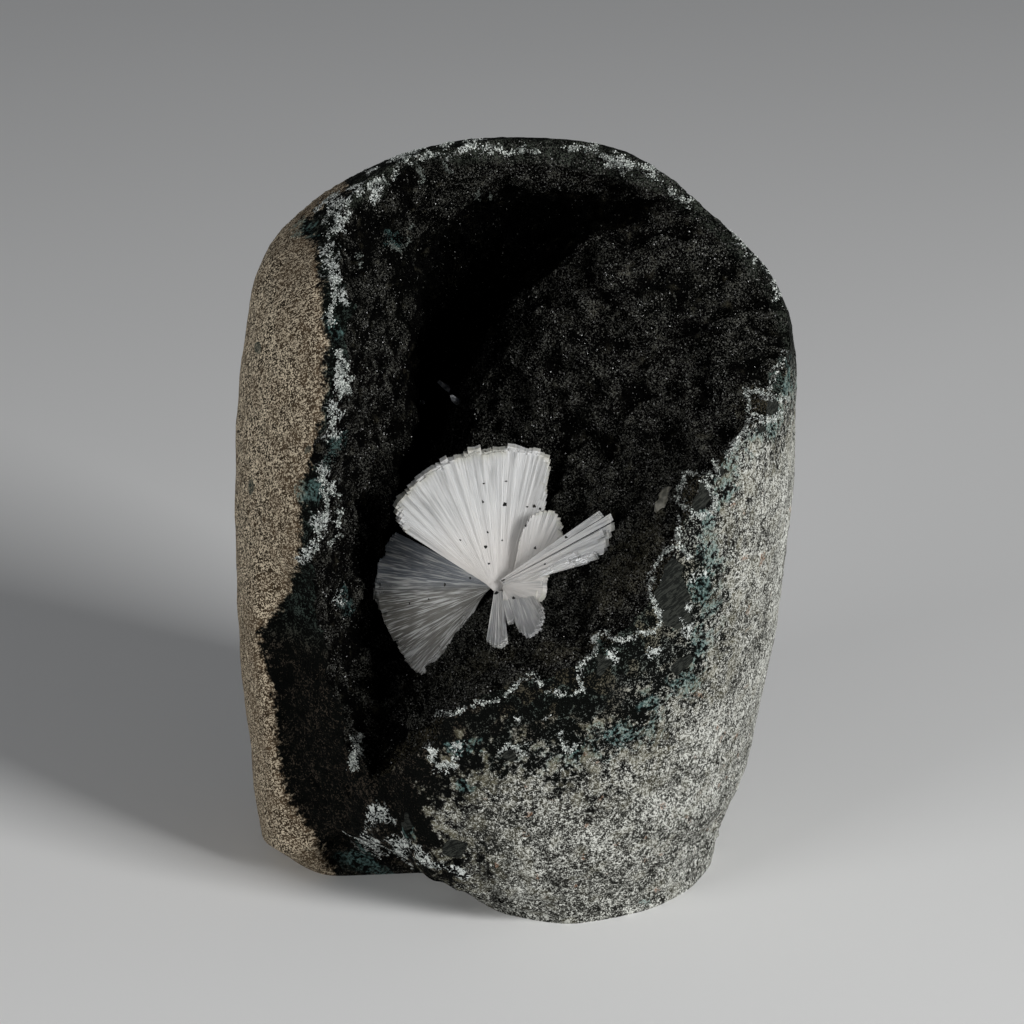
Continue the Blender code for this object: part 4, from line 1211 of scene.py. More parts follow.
def druse_finish():
    """Black sugary crust, stained in places, with painted shade deep in the vug and in its hollows, and the
    altered rock's colours past its edge.
    """
    finish = Finish("druse")
    grain = finish.noise(4.0, 1.0)
    lumps = finish.noise(0.55, 1.0)
    tone = grain * 0.72 + lumps * 0.28
    depth = finish.part(finish.place, "Y")
    # Painted shade: the pale specks fade out deep in the vug and in the hollows between the lumps of its
    # wall
    painted_shading = (1 - depth.step(*SHADE_DEPTHS) * SHADE) * (1 - finish.mark("hollow") * 0.97) * 1.2
    colour = finish.mix(DRUSE_BLACK, DRUSE_GREY, tone.step(0.50, 0.66) * painted_shading)
    brown = (finish.mark("brown") + (lumps - 0.5) * 2.6).step(0.2, 1.1)
    colour = finish.mix(colour, OLIVE_BROWN, brown * (tone.step(0.42, 0.60) * 0.55))
    beyond = (finish.mark("vug_side") + (lumps - 0.5) * 3.0).step(-0.5, 0.5) * finish.mark("front")
    colour = finish.mix(colour, finish.mix(BAND_DARK, MOSS_BROWN, tone.step(0.46, 0.62)), beyond)
    teal = finish.mark("teal").step(0.05, 0.5) * (lumps * 0.5 + grain * 0.5).step(0.44, 0.58)
    colour = finish.mix(colour, TEAL, teal * tone.step(0.42, 0.60) * 0.4)
    crown = finish.mark("crown")
    colour = finish.mix(colour, finish.mix(BAND_DARK, CROWN_GREEN, tone.step(0.44, 0.60)), crown)
    colour = add_white(finish, colour, lumps, grain)
    roughness = 0.75 - 0.30 * grain.step(0.52, 0.64)
    relief = (grain * 0.7 + lumps * 0.9) * (1.0 - 0.6 * crown)
    return finish.surface({"Base Color": colour, "Roughness": roughness, "Specular IOR Level": DRUSE_SHINE,
                           "Normal": finish.bump(relief)})


black_finish = druse_finish()
print("nodes of the druse's finish:", len(black_finish.node_tree.nodes))

# %% [markdown]
# ## Skin and wall
# Stone and crust were cut from the same bodies, so both have pieces of the outer skin and of the wall of
# the vug. One finish for each object would draw a hard line where they meet. So both objects carry both
# finishes, and the mark that the cuts left on each face says which of the two it gets.

# %% Give the skin and the open wall their own finish
def face_kinds(item):
    """What kind of surface each face is."""
    kinds = np.zeros(len(item.data.polygons), np.float32)
    item.data.attributes["kind"].data.foreach_get("value", kinds)
    return kinds


def dress(item):
    """Give a cut body the stone's finish on its skin and the druse's finish on the walls of the vug."""
    item.data.materials.clear()
    for finish in (basalt_finish, black_finish):
        item.data.materials.append(finish)
    walls = face_kinds(item) > (SKIN + OPEN) / 2
    item.data.polygons.foreach_set("material_index", walls.astype(np.int32))
    print(item.name, "has", int(walls.sum()), "faces with the druse's finish")


for body, slot_name, node_name in ((stone, "basalt", "basalt"), (crust, "druse", "vug_lining")):
    dress(body)
    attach(body, "root")
    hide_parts(node_name)


# %% [markdown]
# ## The sheaf of stilbite
# Stilbite grows as thin blades that share one root and splay apart, like a sheaf of corn tied at its
# waist. Here five fans meet: a broad white one that faces the viewer, a thinner one that leans back to
# the left, a small round tongue and a bundle of clear rods on the right, and a thick knot below them. Two
# little plates stand at their foot. A fan could be one sheet with a painted pattern, but its ragged,
# stepped rim and the light that catches single blades are what make it look grown. So each fan is two
# layers of separate blades. Every blade has a ribbed face, because it is itself a stack of finer ones,
# and a slanted end that catches the light along the rim.

# %% Measures of the fans, in millimetres from the root as the viewer sees them: right and up
SHEAF_ROOT = (-1.8, -19.0, 49.0)
# depth: how far behind the root a fan starts. slope: how it leans back per millimetre to the right and up.
# thick, bevel, uneven: of its blades, in millimetres. cuts: lengths of its front blades, as shares of the
# way from feet to tips. clear, smoke_and_shade: how much of the clear finish it has, and of the smoky
# colours that are partly painted shade.
FANS = {
    "main": {
        "depth": -0.4, "slope": (0.06, 0.10), "blades": 52, "thick": 0.80, "bevel": 0.60,
        "uneven": 0.009, "cuts": (0.945, 0.992), "clear": 0.04, "smoke_and_shade": 0.0,
        "feet": ((-1.9, 0.5), (-0.7, -0.7), (1.6, -0.1)),
        "tips": ((-14.2, 8.8), (-15.4, 10.6), (-15.9, 12.5), (-14.8, 14.5), (-12.8, 16.8), (-11.3, 18.0),
                 (-9.3, 19.1), (-7.4, 19.7), (-5.5, 20.6), (-3.4, 21.2), (-1.5, 21.3), (0.0, 21.4),
                 (1.8, 21.6), (3.7, 21.4), (5.7, 20.9), (7.1, 20.1), (7.3, 18.6), (6.7, 16.0),
                 (6.6, 13.3), (6.0, 10.6)),
    },
    "side": {
        "depth": 0.2, "slope": (-0.50, -0.10), "blades": 62, "thick": 0.50, "bevel": 0.30,
        "uneven": 0.030, "cuts": (0.94, 0.992), "clear": 0.26, "smoke_and_shade": 1.0,
        "feet": ((-0.6, 0.7), (-3.0, -1.7)),
        "tips": ((-16.3, 8.4), (-17.5, 6.6), (-17.7, 4.8), (-18.7, 3.3), (-19.3, 1.1), (-19.3, -1.4),
                 (-18.7, -3.1), (-18.1, -5.0), (-17.2, -6.9), (-16.2, -8.6), (-15.0, -10.2),
                 (-14.5, -11.5), (-13.2, -13.0), (-12.2, -13.5), (-10.7, -11.8), (-8.9, -9.9),
                 (-7.6, -9.6), (-6.5, -8.0), (-5.6, -5.4), (-5.0, -3.7)),
    },
    "tongue": {
        "depth": -0.85, "slope": (-0.24, 0.05), "blades": 24, "thick": 0.45, "bevel": 0.10,
        "uneven": 0.008, "cuts": (0.985, 0.992), "clear": 0.0, "smoke_and_shade": 0.0,
        "feet": ((1.6, -0.1), (5.1, 1.1)),
        "tips": ((3.1, 5.3), (3.4, 7.3), (4.2, 9.3), (5.2, 10.8), (6.4, 11.5), (7.6, 11.5), (8.5, 10.9),
                 (9.1, 9.6), (9.1, 7.3), (8.3, 5.3)),
    },
    "rods": {
        "depth": -1.2, "slope": (-0.50, 0.0), "blades": 12, "thick": 0.45, "bevel": 0.35,
        "uneven": 0.17, "cuts": (0.70, 1.0), "overlap": 0.84, "clear": 0.40, "smoke_and_shade": 0.25,
        "feet": ((0.0, 1.1), (1.1, -0.4)),
        "tips": ((14.4, 11.2), (15.6, 10.9), (16.7, 10.0), (16.9, 8.8), (15.8, 7.6), (16.1, 6.3),
                 (15.0, 5.1), (13.7, 4.4), (11.3, 4.1), (9.2, 3.5), (7.7, 2.7)),
    },
    "knot": {
        "depth": -1.3, "slope": (-0.62, 0.60), "blades": 22, "thick": 0.60, "bevel": 0.30,
        "uneven": 0.05, "cuts": (0.86, 1.0), "clear": 0.03, "smoke_and_shade": 0.0,
        "feet": ((0.6, 0.7), (0.5, -0.4)),
        "tips": ((7.7, 3.0), (7.0, 1.5), (6.8, -0.1), (6.4, -1.6), (4.5, -2.2), (2.4, -2.2), (0.6, -2.3)),
    },
    "left_plate": {
        "depth": -0.7, "slope": (-0.70, 1.00), "blades": 10, "thick": 0.35, "bevel": 0.15,
        "uneven": 0.015, "cuts": (0.94, 0.99), "clear": 0.40, "smoke_and_shade": 0.50,
        "feet": ((-0.8, -0.5), (0.6, -0.6)),
        "tips": ((-1.8, -7.8), (-0.7, -8.7), (0.2, -8.6), (0.9, -8.0), (0.6, -6.3)),
    },
    "right_plate": {
        "depth": -0.7, "slope": (-0.70, 1.00), "blades": 16, "thick": 0.35, "bevel": 0.15,
        "uneven": 0.015, "cuts": (0.94, 0.99), "clear": 0.45, "smoke_and_shade": 0.60,
        "feet": ((0.3, -1.3), (4.9, -1.1)),
        "tips": ((1.4, -5.4), (2.4, -4.4), (3.3, -6.3), (4.5, -7.1), (5.7, -6.2), (6.3, -4.5),
                 (6.0, -2.8)),
    },
}
# Each fan has a back layer, which makes the rim, and a front layer that ends a little short of it
RIM_CUTS = (0.972, 1.0)
RIM_SUNK = 0.30
BLADE_STATIONS = (0.0, 0.12, 0.35, 0.6, 0.82, 0.95, 1.0)
FACE_RIBS = (-1.0, -0.74, -0.46, -0.2, 0.08, 0.34, 0.6, 0.8, 1.0)
# The points round a blade, as shares of its half width: the ribs of its face, then the two edges of its back
BLADE_ROUND = FACE_RIBS + (0.94, -0.94)
RIB_HEIGHT = 0.012
# A blade's thickness at its root, and how much it gains to its end, as shares
BLADE_TAPER = (0.45, 0.55)
END_SKEW = 0.3
OVERLAP = 1.5
# The length that counts as 1 along a blade when the finish reads it
RAY_LENGTH = 20
print("fans:", list(FANS), "with", 2 * sum(fan["blades"] for fan in FANS.values()), "blades")

# %% One blade
def along_line(line, shares):
    """Places at these shares of the length of an open line, and that length."""
    line = np.asarray(line, float)
    length = np.concatenate([[0], np.cumsum(np.linalg.norm(np.diff(line, axis=0), axis=1))])
    wanted = np.asarray(shares) * length[-1]
    return np.stack([np.interp(wanted, length, line[:, axis]) for axis in (0, 1)], axis=-1), length[-1]


def lay_blade(fan, foot, flat, height, random):
    """Where a blade starts, its step to its end, its side and its face, from its foot and run as drawn."""
    inward = -TO_VIEWER
    root = np.array(SHEAF_ROOT) + inward * fan["depth"]
    run = RIGHTWARD * flat[0] + UPWARD * flat[1]
    reach = np.linalg.norm(flat)
    slope = (flat / reach) @ fan["slope"] + random.uniform(-0.3, 0.3) * fan["uneven"]
    step = run + inward * slope * reach
    face = run / reach * slope - inward
    face /= np.linalg.norm(face)
    side = np.cross(step, face)
    side /= np.linalg.norm(side)
    lift = height * min(1, fan["thick"]) + random.uniform(-1, 1) * fan["uneven"]
    start = root + RIGHTWARD * foot[0] + UPWARD * foot[1] + inward * (foot @ fan["slope"]) + face * lift
    return start, step, side, face + side * random.uniform(-1, 1) * fan["uneven"]


def blade_points(fan, start, step, side, face, halves, random):
    """One blade: rows of points round it at each station, from its root to its slanted end."""
    ribs = np.array(FACE_RIBS)
    inner = np.abs(ribs) < 1
    heights = random.uniform(-RIB_HEIGHT, RIB_HEIGHT, len(ribs)) * inner + RIB_HEIGHT * (1 - ribs ** 2)
    reach = np.linalg.norm(step)
    direction = step / reach
    skew = random.uniform(-END_SKEW, END_SKEW)
    rows = []
    for share in BLADE_STATIONS:
        half = halves[0] + (halves[1] - halves[0]) * share
        body = fan["thick"] * (BLADE_TAPER[0] + BLADE_TAPER[1] * share) / 2
        lateral = np.array(BLADE_ROUND) * half
        level = np.concatenate([body + heights, [-body, -body]])
        length = np.full(len(level), reach * share)
        if share == 1:
            length += skew * lateral - fan["bevel"] * (level > 0)
        rows.append(start + np.outer(length, direction) + np.outer(lateral, side) + np.outer(level, face))
    return np.array(rows)


# %% The blades of a fan
def fan_blades(fan, random):
    """All blades of a fan: point rows, each with its place on the rim, its reach, its tone and its share."""
    stations = np.array(BLADE_STATIONS)[:, None]
    blades = []
    number = fan["blades"]
    for ends, height in ((RIM_CUTS, -RIM_SUNK), (fan["cuts"], 0.0)):
        shares = np.clip((np.arange(number) + 0.5 + random.uniform(-0.2, 0.2, number)) / number, 0, 1)
        feet, foot_length = along_line(fan["feet"], shares)
        tips, rim_length = along_line(fan["tips"], shares)
        paired = random.uniform(*ends, number // 2 + 1)[np.arange(number) // 2]
        cuts = paired * random.uniform(0.99, 1.01, number)
        for share, foot, tip, cut in zip(shares, feet, tips, cuts):
            flat = (tip - foot) * cut
            start, step, side, face = lay_blade(fan, foot, flat, height, random)
            widths = np.array([max(foot_length, 1.0), rim_length * cut]) / number
            halves = widths * fan.get("overlap", OVERLAP) / 2
            rows = blade_points(fan, start, step, side, face, halves, random)
            marks = np.zeros(rows.shape[:2] + (4,))
            marks[:, :, 0] = share * rim_length - np.array(BLADE_ROUND) * halves[1]
            marks[:, :, 1] = stations * np.linalg.norm(flat) / RAY_LENGTH
            marks[:, :, 2] = random.uniform(0, 1)
            marks[:, :, 3] = stations
            blades.append((rows, marks.reshape(-1, 4)))
    return blades


# %% The sheaf
def blade_faces(count, stations, around):
    """The faces of this many closed blades, one after another: their sides, their root and their end."""
    corner = np.arange(stations * around).reshape(stations, around)
    after = np.roll(corner, -1, axis=1)
    quads = np.stack([corner[:-1], corner[1:], after[1:], after[:-1]], axis=-1).reshape(-1, 4)
    faces = []
    for first in range(0, count * corner.size, corner.size):
        faces += (quads + first).tolist()
        faces.append((corner[0] + first).tolist())
        faces.append((corner[-1][::-1] + first).tolist())
    return faces


def make_sheaf():
    """The whole sheaf: all fans of closed blades round one knot, joined in one mesh with their marks."""
    random = np.random.default_rng(11)
    rows = []
    marks = []
    for fan in FANS.values():
        for blade_rows, blade_marks in fan_blades(fan, random):
            rows.append(blade_rows)
            looks = np.tile([fan["clear"], fan["smoke_and_shade"]], (len(blade_marks), 1))
            marks.append(np.hstack([blade_marks, looks]))
    stations, around, _ = rows[0].shape
    points = to_frame(np.concatenate(rows).reshape(-1, 3))
    item = new_mesh("stilbite_sheaf", points, blade_faces(len(rows), stations, around))
    marks = np.concatenate(marks)
    write_mark(item, "ray", marks[:, :3])
    for column, name in enumerate(("end", "clear", "smoke_and_shade"), start=3):
        write_mark(item, name, marks[:, column])
    return item


sheaf = make_sheaf()
print("sheaf:", len(sheaf.data.polygons), "faces, box in millimetres:",
      np.round(mesh_points(sheaf).min(axis=0) / MM, 1), np.round(mesh_points(sheaf).max(axis=0) / MM, 1))


# %% [markdown]
# ## The pearly finish of stilbite
# Stilbite is white because its blades are cracked and layered, and pearly because light enters and comes
# back out. Subsurface scattering gives that soft body. Where the blades are thin and whole it is nearly
# clear, so the black vug shows through and the blade looks grey or bluish. One shader can't be both at
# once, so a white one and a clear one are mixed, and rays that run along the blades set how much of each
# there is. The fans that lean away also get smoky, bluish colours, which are partly painted shade.

# %% Colours of the stilbite
CREAM = (0.665, 0.630, 0.590)
COOL_WHITE = (0.62, 0.615, 0.60)
STREAK_GREY = (0.36, 0.36, 0.35)
# The smoky and bluish colours are partly the blades' own tint and partly painted shade
SMOKY_SHADE = (0.125, 0.118, 0.100)
BLUISH_SHADE = (0.165, 0.185, 0.212)
RAY_WHITE = (0.56, 0.56, 0.54)
RIM_YELLOW = (0.46, 0.45, 0.38)
BLADE_CLEAR = (0.88, 0.90, 0.92)
# How far red, green and blue light travel inside the white blades, in metres
PEARL_DEPTH = (0.0012, 0.0011, 0.0010)
CRYSTAL_IOR = 1.5

# %% The pearly finish
def stilbite_finish():
    """White, pearly blades that turn clear in streaks towards their ends, and smoky ones that are partly
    painted shade.
    """
    finish = Finish("stilbite")
    ray = finish.mark("ray", "Vector")
    on_rim = finish.part(ray, "X")
    tone = finish.part(ray, "Z")
    smoke_and_shade = finish.mark("smoke_and_shade")
    outer = finish.mark("end").step(0.35, 1.0)
    streaks = finish.noise(1.0, 2.0, finish.stretch(ray, (1.1, 2.2, 0.6)))
    hairs = finish.noise(1.0, 2.0, finish.stretch(ray, (3.8, 6.5, 0.9)))
    cloud = finish.noise(0.30, 1.0)
    grey_ray = (streaks + (tone - 0.5) * 0.10).step(0.50, 0.64) * outer
    streaked = grey_ray * (0.34 + 0.34 * (1 - on_rim.step(4.0, 14.0))) + hairs.step(0.50, 0.64) * 0.20
    white = finish.mix(CREAM, COOL_WHITE, finish.part(ray, "Y").step(0.2, 0.75))
    white = finish.mix(white, STREAK_GREY, streaked)
    bright = (hairs * 0.60 + streaks * 0.25 + cloud * 0.15 + (tone - 0.5) * 0.06).step(0.47, 0.60)
    # Painted shade mixed with the blades' own smoky tint, with white rays through it
    smoky_shade = finish.mix(finish.mix(BLUISH_SHADE, SMOKY_SHADE, on_rim.step(6.0, 12.0)), RAY_WHITE, bright * 0.84)
    rim = finish.mark("end").step(0.90, 1.0) * cloud.step(0.40, 0.54) * (1 - smoke_and_shade)
    colour = finish.mix(finish.mix(white, smoky_shade, smoke_and_shade), RIM_YELLOW, rim * 0.7)
    normal = finish.bump(hairs * 0.07 + streaks * 0.05)
    pearly = {"Base Color": colour, "Roughness": 0.42, "Subsurface Weight": 0.35,
              "Subsurface Radius": PEARL_DEPTH, "Subsurface Scale": 0.6,
              "Coat Weight": 0.05, "Coat Roughness": 0.25, "Normal": normal}
    glassy = {"Base Color": BLADE_CLEAR, "Roughness": 0.22, "IOR": CRYSTAL_IOR,
              "Transmission Weight": 0.95, "Normal": normal}
    clear = finish.mark("clear") * (0.4 + outer * 0.9) + grey_ray * 0.25 - bright * smoke_and_shade * 0.20
    return finish.half_clear(clear.most(0.0).least(0.9), pearly, glassy)


sheaf.data.materials.append(stilbite_finish())
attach(sheaf, "root")
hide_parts("stilbite")
print("nodes of the pearly finish:", len(sheaf.data.materials[0].node_tree.nodes))

# %% [markdown]
# ## The stem of the sheaf
# The fans don't float: behind them they join in a short stem that runs down into the druse. It is hardly
# seen from the front, but a model is looked at from all sides. The stem is one more grid body, ribbed
# along its length like the blades that spring from it.

# %% The stem
STEM_AXIS = np.array([0.05, 0.35, -0.94]) / np.linalg.norm([0.05, 0.35, -0.94])
# Rings of the stem: how far along its axis they lie, and their radius
STEM_RINGS = ((-1.0, 0.2), (-0.6, 0.6), (0.2, 0.9), (1.4, 1.1), (3.0, 1.2), (4.5, 1.4), (6.6, 1.9))
STEM_SHIFT = 1.9
STEM_DEPTH = 0.9
STEM_SIDES = 36
STEM_LOOKS = {"end": 0.2, "clear": 0.15, "smoke_and_shade": 1.0}


def make_stem():
    """A short ribbed stem from the knot of the sheaf down into the druse."""
    side = np.cross(STEM_AXIS, -TO_VIEWER)
    side /= np.linalg.norm(side)
    other = np.cross(STEM_AXIS, side)
    numbers = np.arange(STEM_SIDES)
    angles = numbers * 2 * pi / STEM_SIDES
    ribs = 1 + 0.10 * (numbers % 3 == 0) + np.random.default_rng(3).uniform(-0.05, 0.05, STEM_SIDES)
    levels, radii = np.array(STEM_RINGS).T
    around = np.cos(angles)[:, None] * side + np.sin(angles)[:, None] * other
    middle = np.array(SHEAF_ROOT) + RIGHTWARD * STEM_SHIFT - TO_VIEWER * STEM_DEPTH
    grid = middle + levels[:, None, None] * STEM_AXIS
    grid = grid + (radii[:, None] * ribs)[:, :, None] * around
    item = grid_body("stilbite_stem", grid, OPEN)
    count = len(item.data.vertices)
    turns = np.concatenate([np.tile(np.degrees(angles), len(levels)), [0, 0]])
    reach = np.concatenate([np.repeat(levels, STEM_SIDES), levels[[0, -1]]]) / RAY_LENGTH
    write_mark(item, "ray", np.column_stack([turns, np.abs(reach), np.full(count, 0.5)]))
    for name, value in STEM_LOOKS.items():
        write_mark(item, name, np.full(count, value))
    return item


stem = make_stem()
stem.data.materials.append(sheaf.data.materials[0])
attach(stem, "root")
print("stem:", len(stem.data.polygons), "faces")

# %% [markdown]
# ## Grains that catch the light
# Druse glints because each of its crystals is a small mirror that faces its own way. A bump can't do that
# well, because it has no edges. So thousands of tiny eight-sided crystals are strewn over the open wall
# as real shapes, joined in one mesh. The same tool lays white grains on the zeolite crusts and veins and
# a little black dust on the sheaf. A place is drawn at random on the triangles, more often where they are
# large or strongly marked.

# %% Strewing grains
def triangle_corners(item):
    """The three vertex numbers of every triangle of a mesh made of triangles."""
    corners = np.zeros(len(item.data.polygons) * 3, np.int32)
    item.data.polygons.foreach_get("vertices", corners)
    return corners.reshape(-1, 3)


def triangles(item):
    """The three corner points of every triangle, and its normal, twice as long as the triangle is large."""
    points = mesh_points(item)[triangle_corners(item)]
    return points, np.cross(points[:, 1] - points[:, 0], points[:, 2] - points[:, 0])


def strew(item, strength, count, random):
    """Random places on a mesh and their normals, more of them where the strength of a triangle is high."""
    points, normals = triangles(item)
    area = np.linalg.norm(normals, axis=1)
    chance = area * strength
    chosen = random.choice(len(points), count, p=chance / chance.sum())
    first, second = random.uniform(0, 1, (2, count))
    over = first + second > 1
    first = np.where(over, 1 - first, first)
    second = np.where(over, 1 - second, second)
    corner, other, last = (points[chosen, number] for number in range(3))
    places = corner + (other - corner) * first[:, None] + (last - corner) * second[:, None]
    return places, normals[chosen] / area[chosen][:, None]


# %% Making grains
GRAIN_CORNERS = np.array([(1, 0, 0), (0, 1, 0), (-1, 0, 0), (0, -1, 0), (0, 0, 1), (0, 0, -1)], float)
GRAIN_FACES = np.array([(0, 1, 4), (1, 2, 4), (2, 3, 4), (3, 0, 4),
                        (1, 0, 5), (2, 1, 5), (3, 2, 5), (0, 3, 5)])
GRAIN_STRETCH = (0.55, 1.25)


def random_turns(count, random):
    """Random rotations, as rows of 3 by 3 matrices."""
    turns = random.normal(size=(count, 4))
    w, x, y, z = (turns / np.linalg.norm(turns, axis=1, keepdims=True)).T
    rows = ((1 - 2 * (y * y + z * z), 2 * (x * y - w * z), 2 * (x * z + w * y)),
            (2 * (x * y + w * z), 1 - 2 * (x * x + z * z), 2 * (y * z - w * x)),
            (2 * (x * z - w * y), 2 * (y * z + w * x), 1 - 2 * (x * x + y * y)))
    return np.moveaxis(np.array(rows), 2, 0)


def make_grains(name, places, normals, sizes, sunk, random):
    """One mesh of small crystals, from half sizes in millimetres and the share of them that is sunk."""
    count = len(places)
    shapes = GRAIN_CORNERS * random.uniform(*GRAIN_STRETCH, (count, 1, 3)) * sizes[:, None, None] * MM
    turned = shapes @ random_turns(count, random)
    middles = places + normals * (sizes * (0.5 - sunk) * MM)[:, None]
    vertices = (turned + middles[:, None]).reshape(-1, 3)
    faces = GRAIN_FACES[None] + len(GRAIN_CORNERS) * np.arange(count)[:, None, None]
    item = new_mesh(name, vertices, faces.reshape(-1, 3).tolist())
    write_mark(item, "tone", np.repeat(random.uniform(0, 1, count), len(GRAIN_CORNERS)))
    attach(item, "root")
    print(name, len(item.data.polygons), "triangles")
    return item


# %% A finish for grains
# Grains: dull colour, bright colour, roughness and shine
GRAIN_LOOKS = {
    "druse_crystals": (DRUSE_BLACK, (0.085, 0.085, 0.075), 0.25, 0.45),
    "white_grains": ((0.14, 0.16, 0.15), (0.66, 0.69, 0.66), 0.6, 0.3),
    "vein_grains": ((0.10, 0.115, 0.105), (0.62, 0.65, 0.61), 0.6, 0.3),
    "bubble_rims": ((0.03, 0.035, 0.031), (0.18, 0.20, 0.18), 0.6, 0.2),
    "dust": ((0.002, 0.002, 0.002), (0.015, 0.014, 0.012), 0.6, 0.2),
}


def grain_finish(name):
    """Small crystals from a dull to a bright colour, each with its own tone."""
    dull, bright, roughness, shine = GRAIN_LOOKS[name]
    finish = Finish(name)
    tone = finish.mark("tone")
    speckle = finish.noise(3.2, 0.0)
    colour = finish.mix(dull, bright, (tone * 0.8 + speckle * 0.4).step(0.25, 1.0))
    colour = finish.mix(colour, OLIVE_BROWN, finish.mark("brown") * speckle.step(0.4, 0.6) * 0.6)
    return finish.surface({"Base Color": colour, "Roughness": roughness + (speckle - 0.5) * 0.3,
                           "Specular IOR Level": shine, "Normal": finish.bump(speckle * 0.08)})


# %% [markdown]
# ## The crystals of the druse
# Crystals are drawn in two sizes. Most of them sit where the wall faces the viewer, few of them deep in
# the vug, and fewest in its hollows, because there they would have no light to catch and only cost
# triangles.

# %% Crystals of the druse
# Name, number and range of half sizes in millimetres
DRUSE_CRYSTALS = (("druse_crystals", 22000, (0.08, 0.19)), ("druse_sugar", 22000, (0.05, 0.12)))
DRUSE_SUNK = 0.15

random = np.random.default_rng(8)
wall_points, wall_normals = triangles(crust)
wall_normals /= np.linalg.norm(wall_normals, axis=1, keepdims=True) + 1e-12
in_view = 0.2 + np.maximum(0, wall_normals @ TO_VIEWER)
in_light = 1 - SHADE * smoothstep(wall_points[:, 0, 1] / MM, *SHADE_DEPTHS)
in_hollow = hollow_shade_marks[triangle_corners(crust)].mean(axis=1)
on_wall = np.isclose(face_kinds(crust), OPEN) * in_view * in_light * (1 - 0.85 * in_hollow)
crystal_finish = grain_finish("druse_crystals")
for name, count, sizes in DRUSE_CRYSTALS:
    places, normals = strew(crust, on_wall, count, random)
    crystals = make_grains(name, places, normals, random.uniform(*sizes, count), DRUSE_SUNK, random)
    spots = patches(frayed(on_drawing(places), places, PATCH_FRAY), BROWN_PATCHES)
    write_mark(crystals, "brown", np.repeat(spots, len(GRAIN_CORNERS)))
    crystals.data.materials.append(crystal_finish)


# %% White grains on the crusts
WHITE_GRAINS = {"weathered_stone": 4000, "druse_crust": 2500}
WHITE_SIZES = (0.07, 0.17)
WHITE_SUNK = 0.10

white_finish = grain_finish("white_grains")
vein_finish = grain_finish("vein_grains")
for body in (stone, crust):
    clusters = smoothstep(noise_at(mesh_points(body) / MM, 0.85, 40.0), -0.15, 0.35)
    strength = (white_marks[body.name] ** 2 * clusters)[triangle_corners(body)].mean(axis=1)
    count = WHITE_GRAINS[body.name]
    places, normals = strew(body, strength, count, random)
    sizes = random.uniform(*WHITE_SIZES, count)
    grains = make_grains("white_grains_on_" + body.name, places, normals, sizes, WHITE_SUNK, random)
    grains.data.materials.append(white_finish)


# %% [markdown]
# ## Veins
# The veins are too thin for marks on the mesh, so they are rows of grains instead. A row follows its line
# on the drawing, wanders a little to both sides, thins out here and there, and is dropped on the stone
# along the viewer's line of sight. Rims of broken bubbles on the left wall are made in the same way, in a
# duller colour.

# %% Rows of grains
VEIN_SIZES = (0.07, 0.18)
WANDER_SEEDS = (3.0, 47.0)
BUBBLE_RIMS = (
    ((-17.8, 52.8), (-16.5, 53.8), (-15.1, 54.0), (-14.0, 52.8), (-14.0, 50.9), (-14.9, 49.6)),
    ((-10.5, 53.4), (-9.9, 52.2), (-8.7, 51.7), (-7.6, 52.6)),
    ((-5.3, 49.1), (-5.2, 47.7), (-4.4, 46.7), (-3.7, 47.1), (-3.5, 48.5)),
    ((-19.2, 41.3), (-18.1, 40.1), (-16.8, 40.1), (-15.7, 41.2), (-15.2, 43.0), (-15.6, 45.0)),
    ((-24.1, 39.0), (-23.0, 38.7), (-23.0, 37.4)),
    ((-20.7, 49.7), (-19.5, 50.3), (-18.6, 49.6)),
)


def seen_place(tree, across, up):
    """The first place on a surface behind this place on the drawing, and its normal."""
    target = sight + (RIGHTWARD * across + UPWARD * up) * MM
    eye = np.array(camera.location)
    place, normal, _, _ = tree.ray_cast(Vector(eye), Vector(target - eye))
    return place, normal


def wander(spots, curl, seed):
    """How far a row strays at these places, in millimetres: a slow bend and quicker curls."""
    return 0.8 * noise_at(spots, 0.4, seed) + curl * noise_at(spots, 1.1, seed)


def row_places(lines, spread, curl, per_mm, random):
    """Places on the drawing beside these lines, in loose rows that wander and thin out."""
    rows = []
    for line in lines:
        count = int(along_line(line, [0.0])[1] * per_mm)
        middles, _ = along_line(line, np.sort(random.uniform(0, 1, count)))
        spots = np.column_stack([middles, np.zeros(count)])
        strayed = np.column_stack([wander(spots, curl, seed) for seed in WANDER_SEEDS])
        density = smoothstep(noise_at(spots, 0.7, 90.0), -0.40, 0.15)
        kept = random.uniform(0, 1, count) < density
        rows.append((middles + strayed + random.normal(0, spread, (count, 2)))[kept])
    return np.concatenate(rows)


# %% Veins, streaks and rims of bubbles
def row_grains(name, lines, finish, spread, curl, per_mm):
    """One mesh of grains along lines: how far they spread and curl, and how many lie in a millimetre."""
    random = np.random.default_rng(21)
    found = []
    for across, up in row_places(lines, spread, curl, per_mm, random):
        hits = [seen_place(tree, across, up) for tree in stone_trees]
        hits = [hit for hit in hits if hit[0] is not None]
        if hits:
            found.append(min(hits, key=lambda hit: (hit[0] - camera.location).length))
    places, normals = (np.array(part) for part in zip(*found))
    grains = make_grains(name, places, normals, random.uniform(*VEIN_SIZES, len(places)), WHITE_SUNK, random)
    grains.data.materials.append(finish)


graph = bpy.context.evaluated_depsgraph_get()
stone_trees = [BVHTree.FromObject(body, graph) for body in (stone, crust)]
row_grains("white_veins", WHITE_VEINS, vein_finish, spread=0.19, curl=0.7, per_mm=28)
row_grains("white_streaks", WHITE_STREAKS, vein_finish, spread=0.22, curl=1.3, per_mm=44)
row_grains("bubble_rims", BUBBLE_RIMS, grain_finish("bubble_rims"), spread=0.20, curl=0.4, per_mm=30)

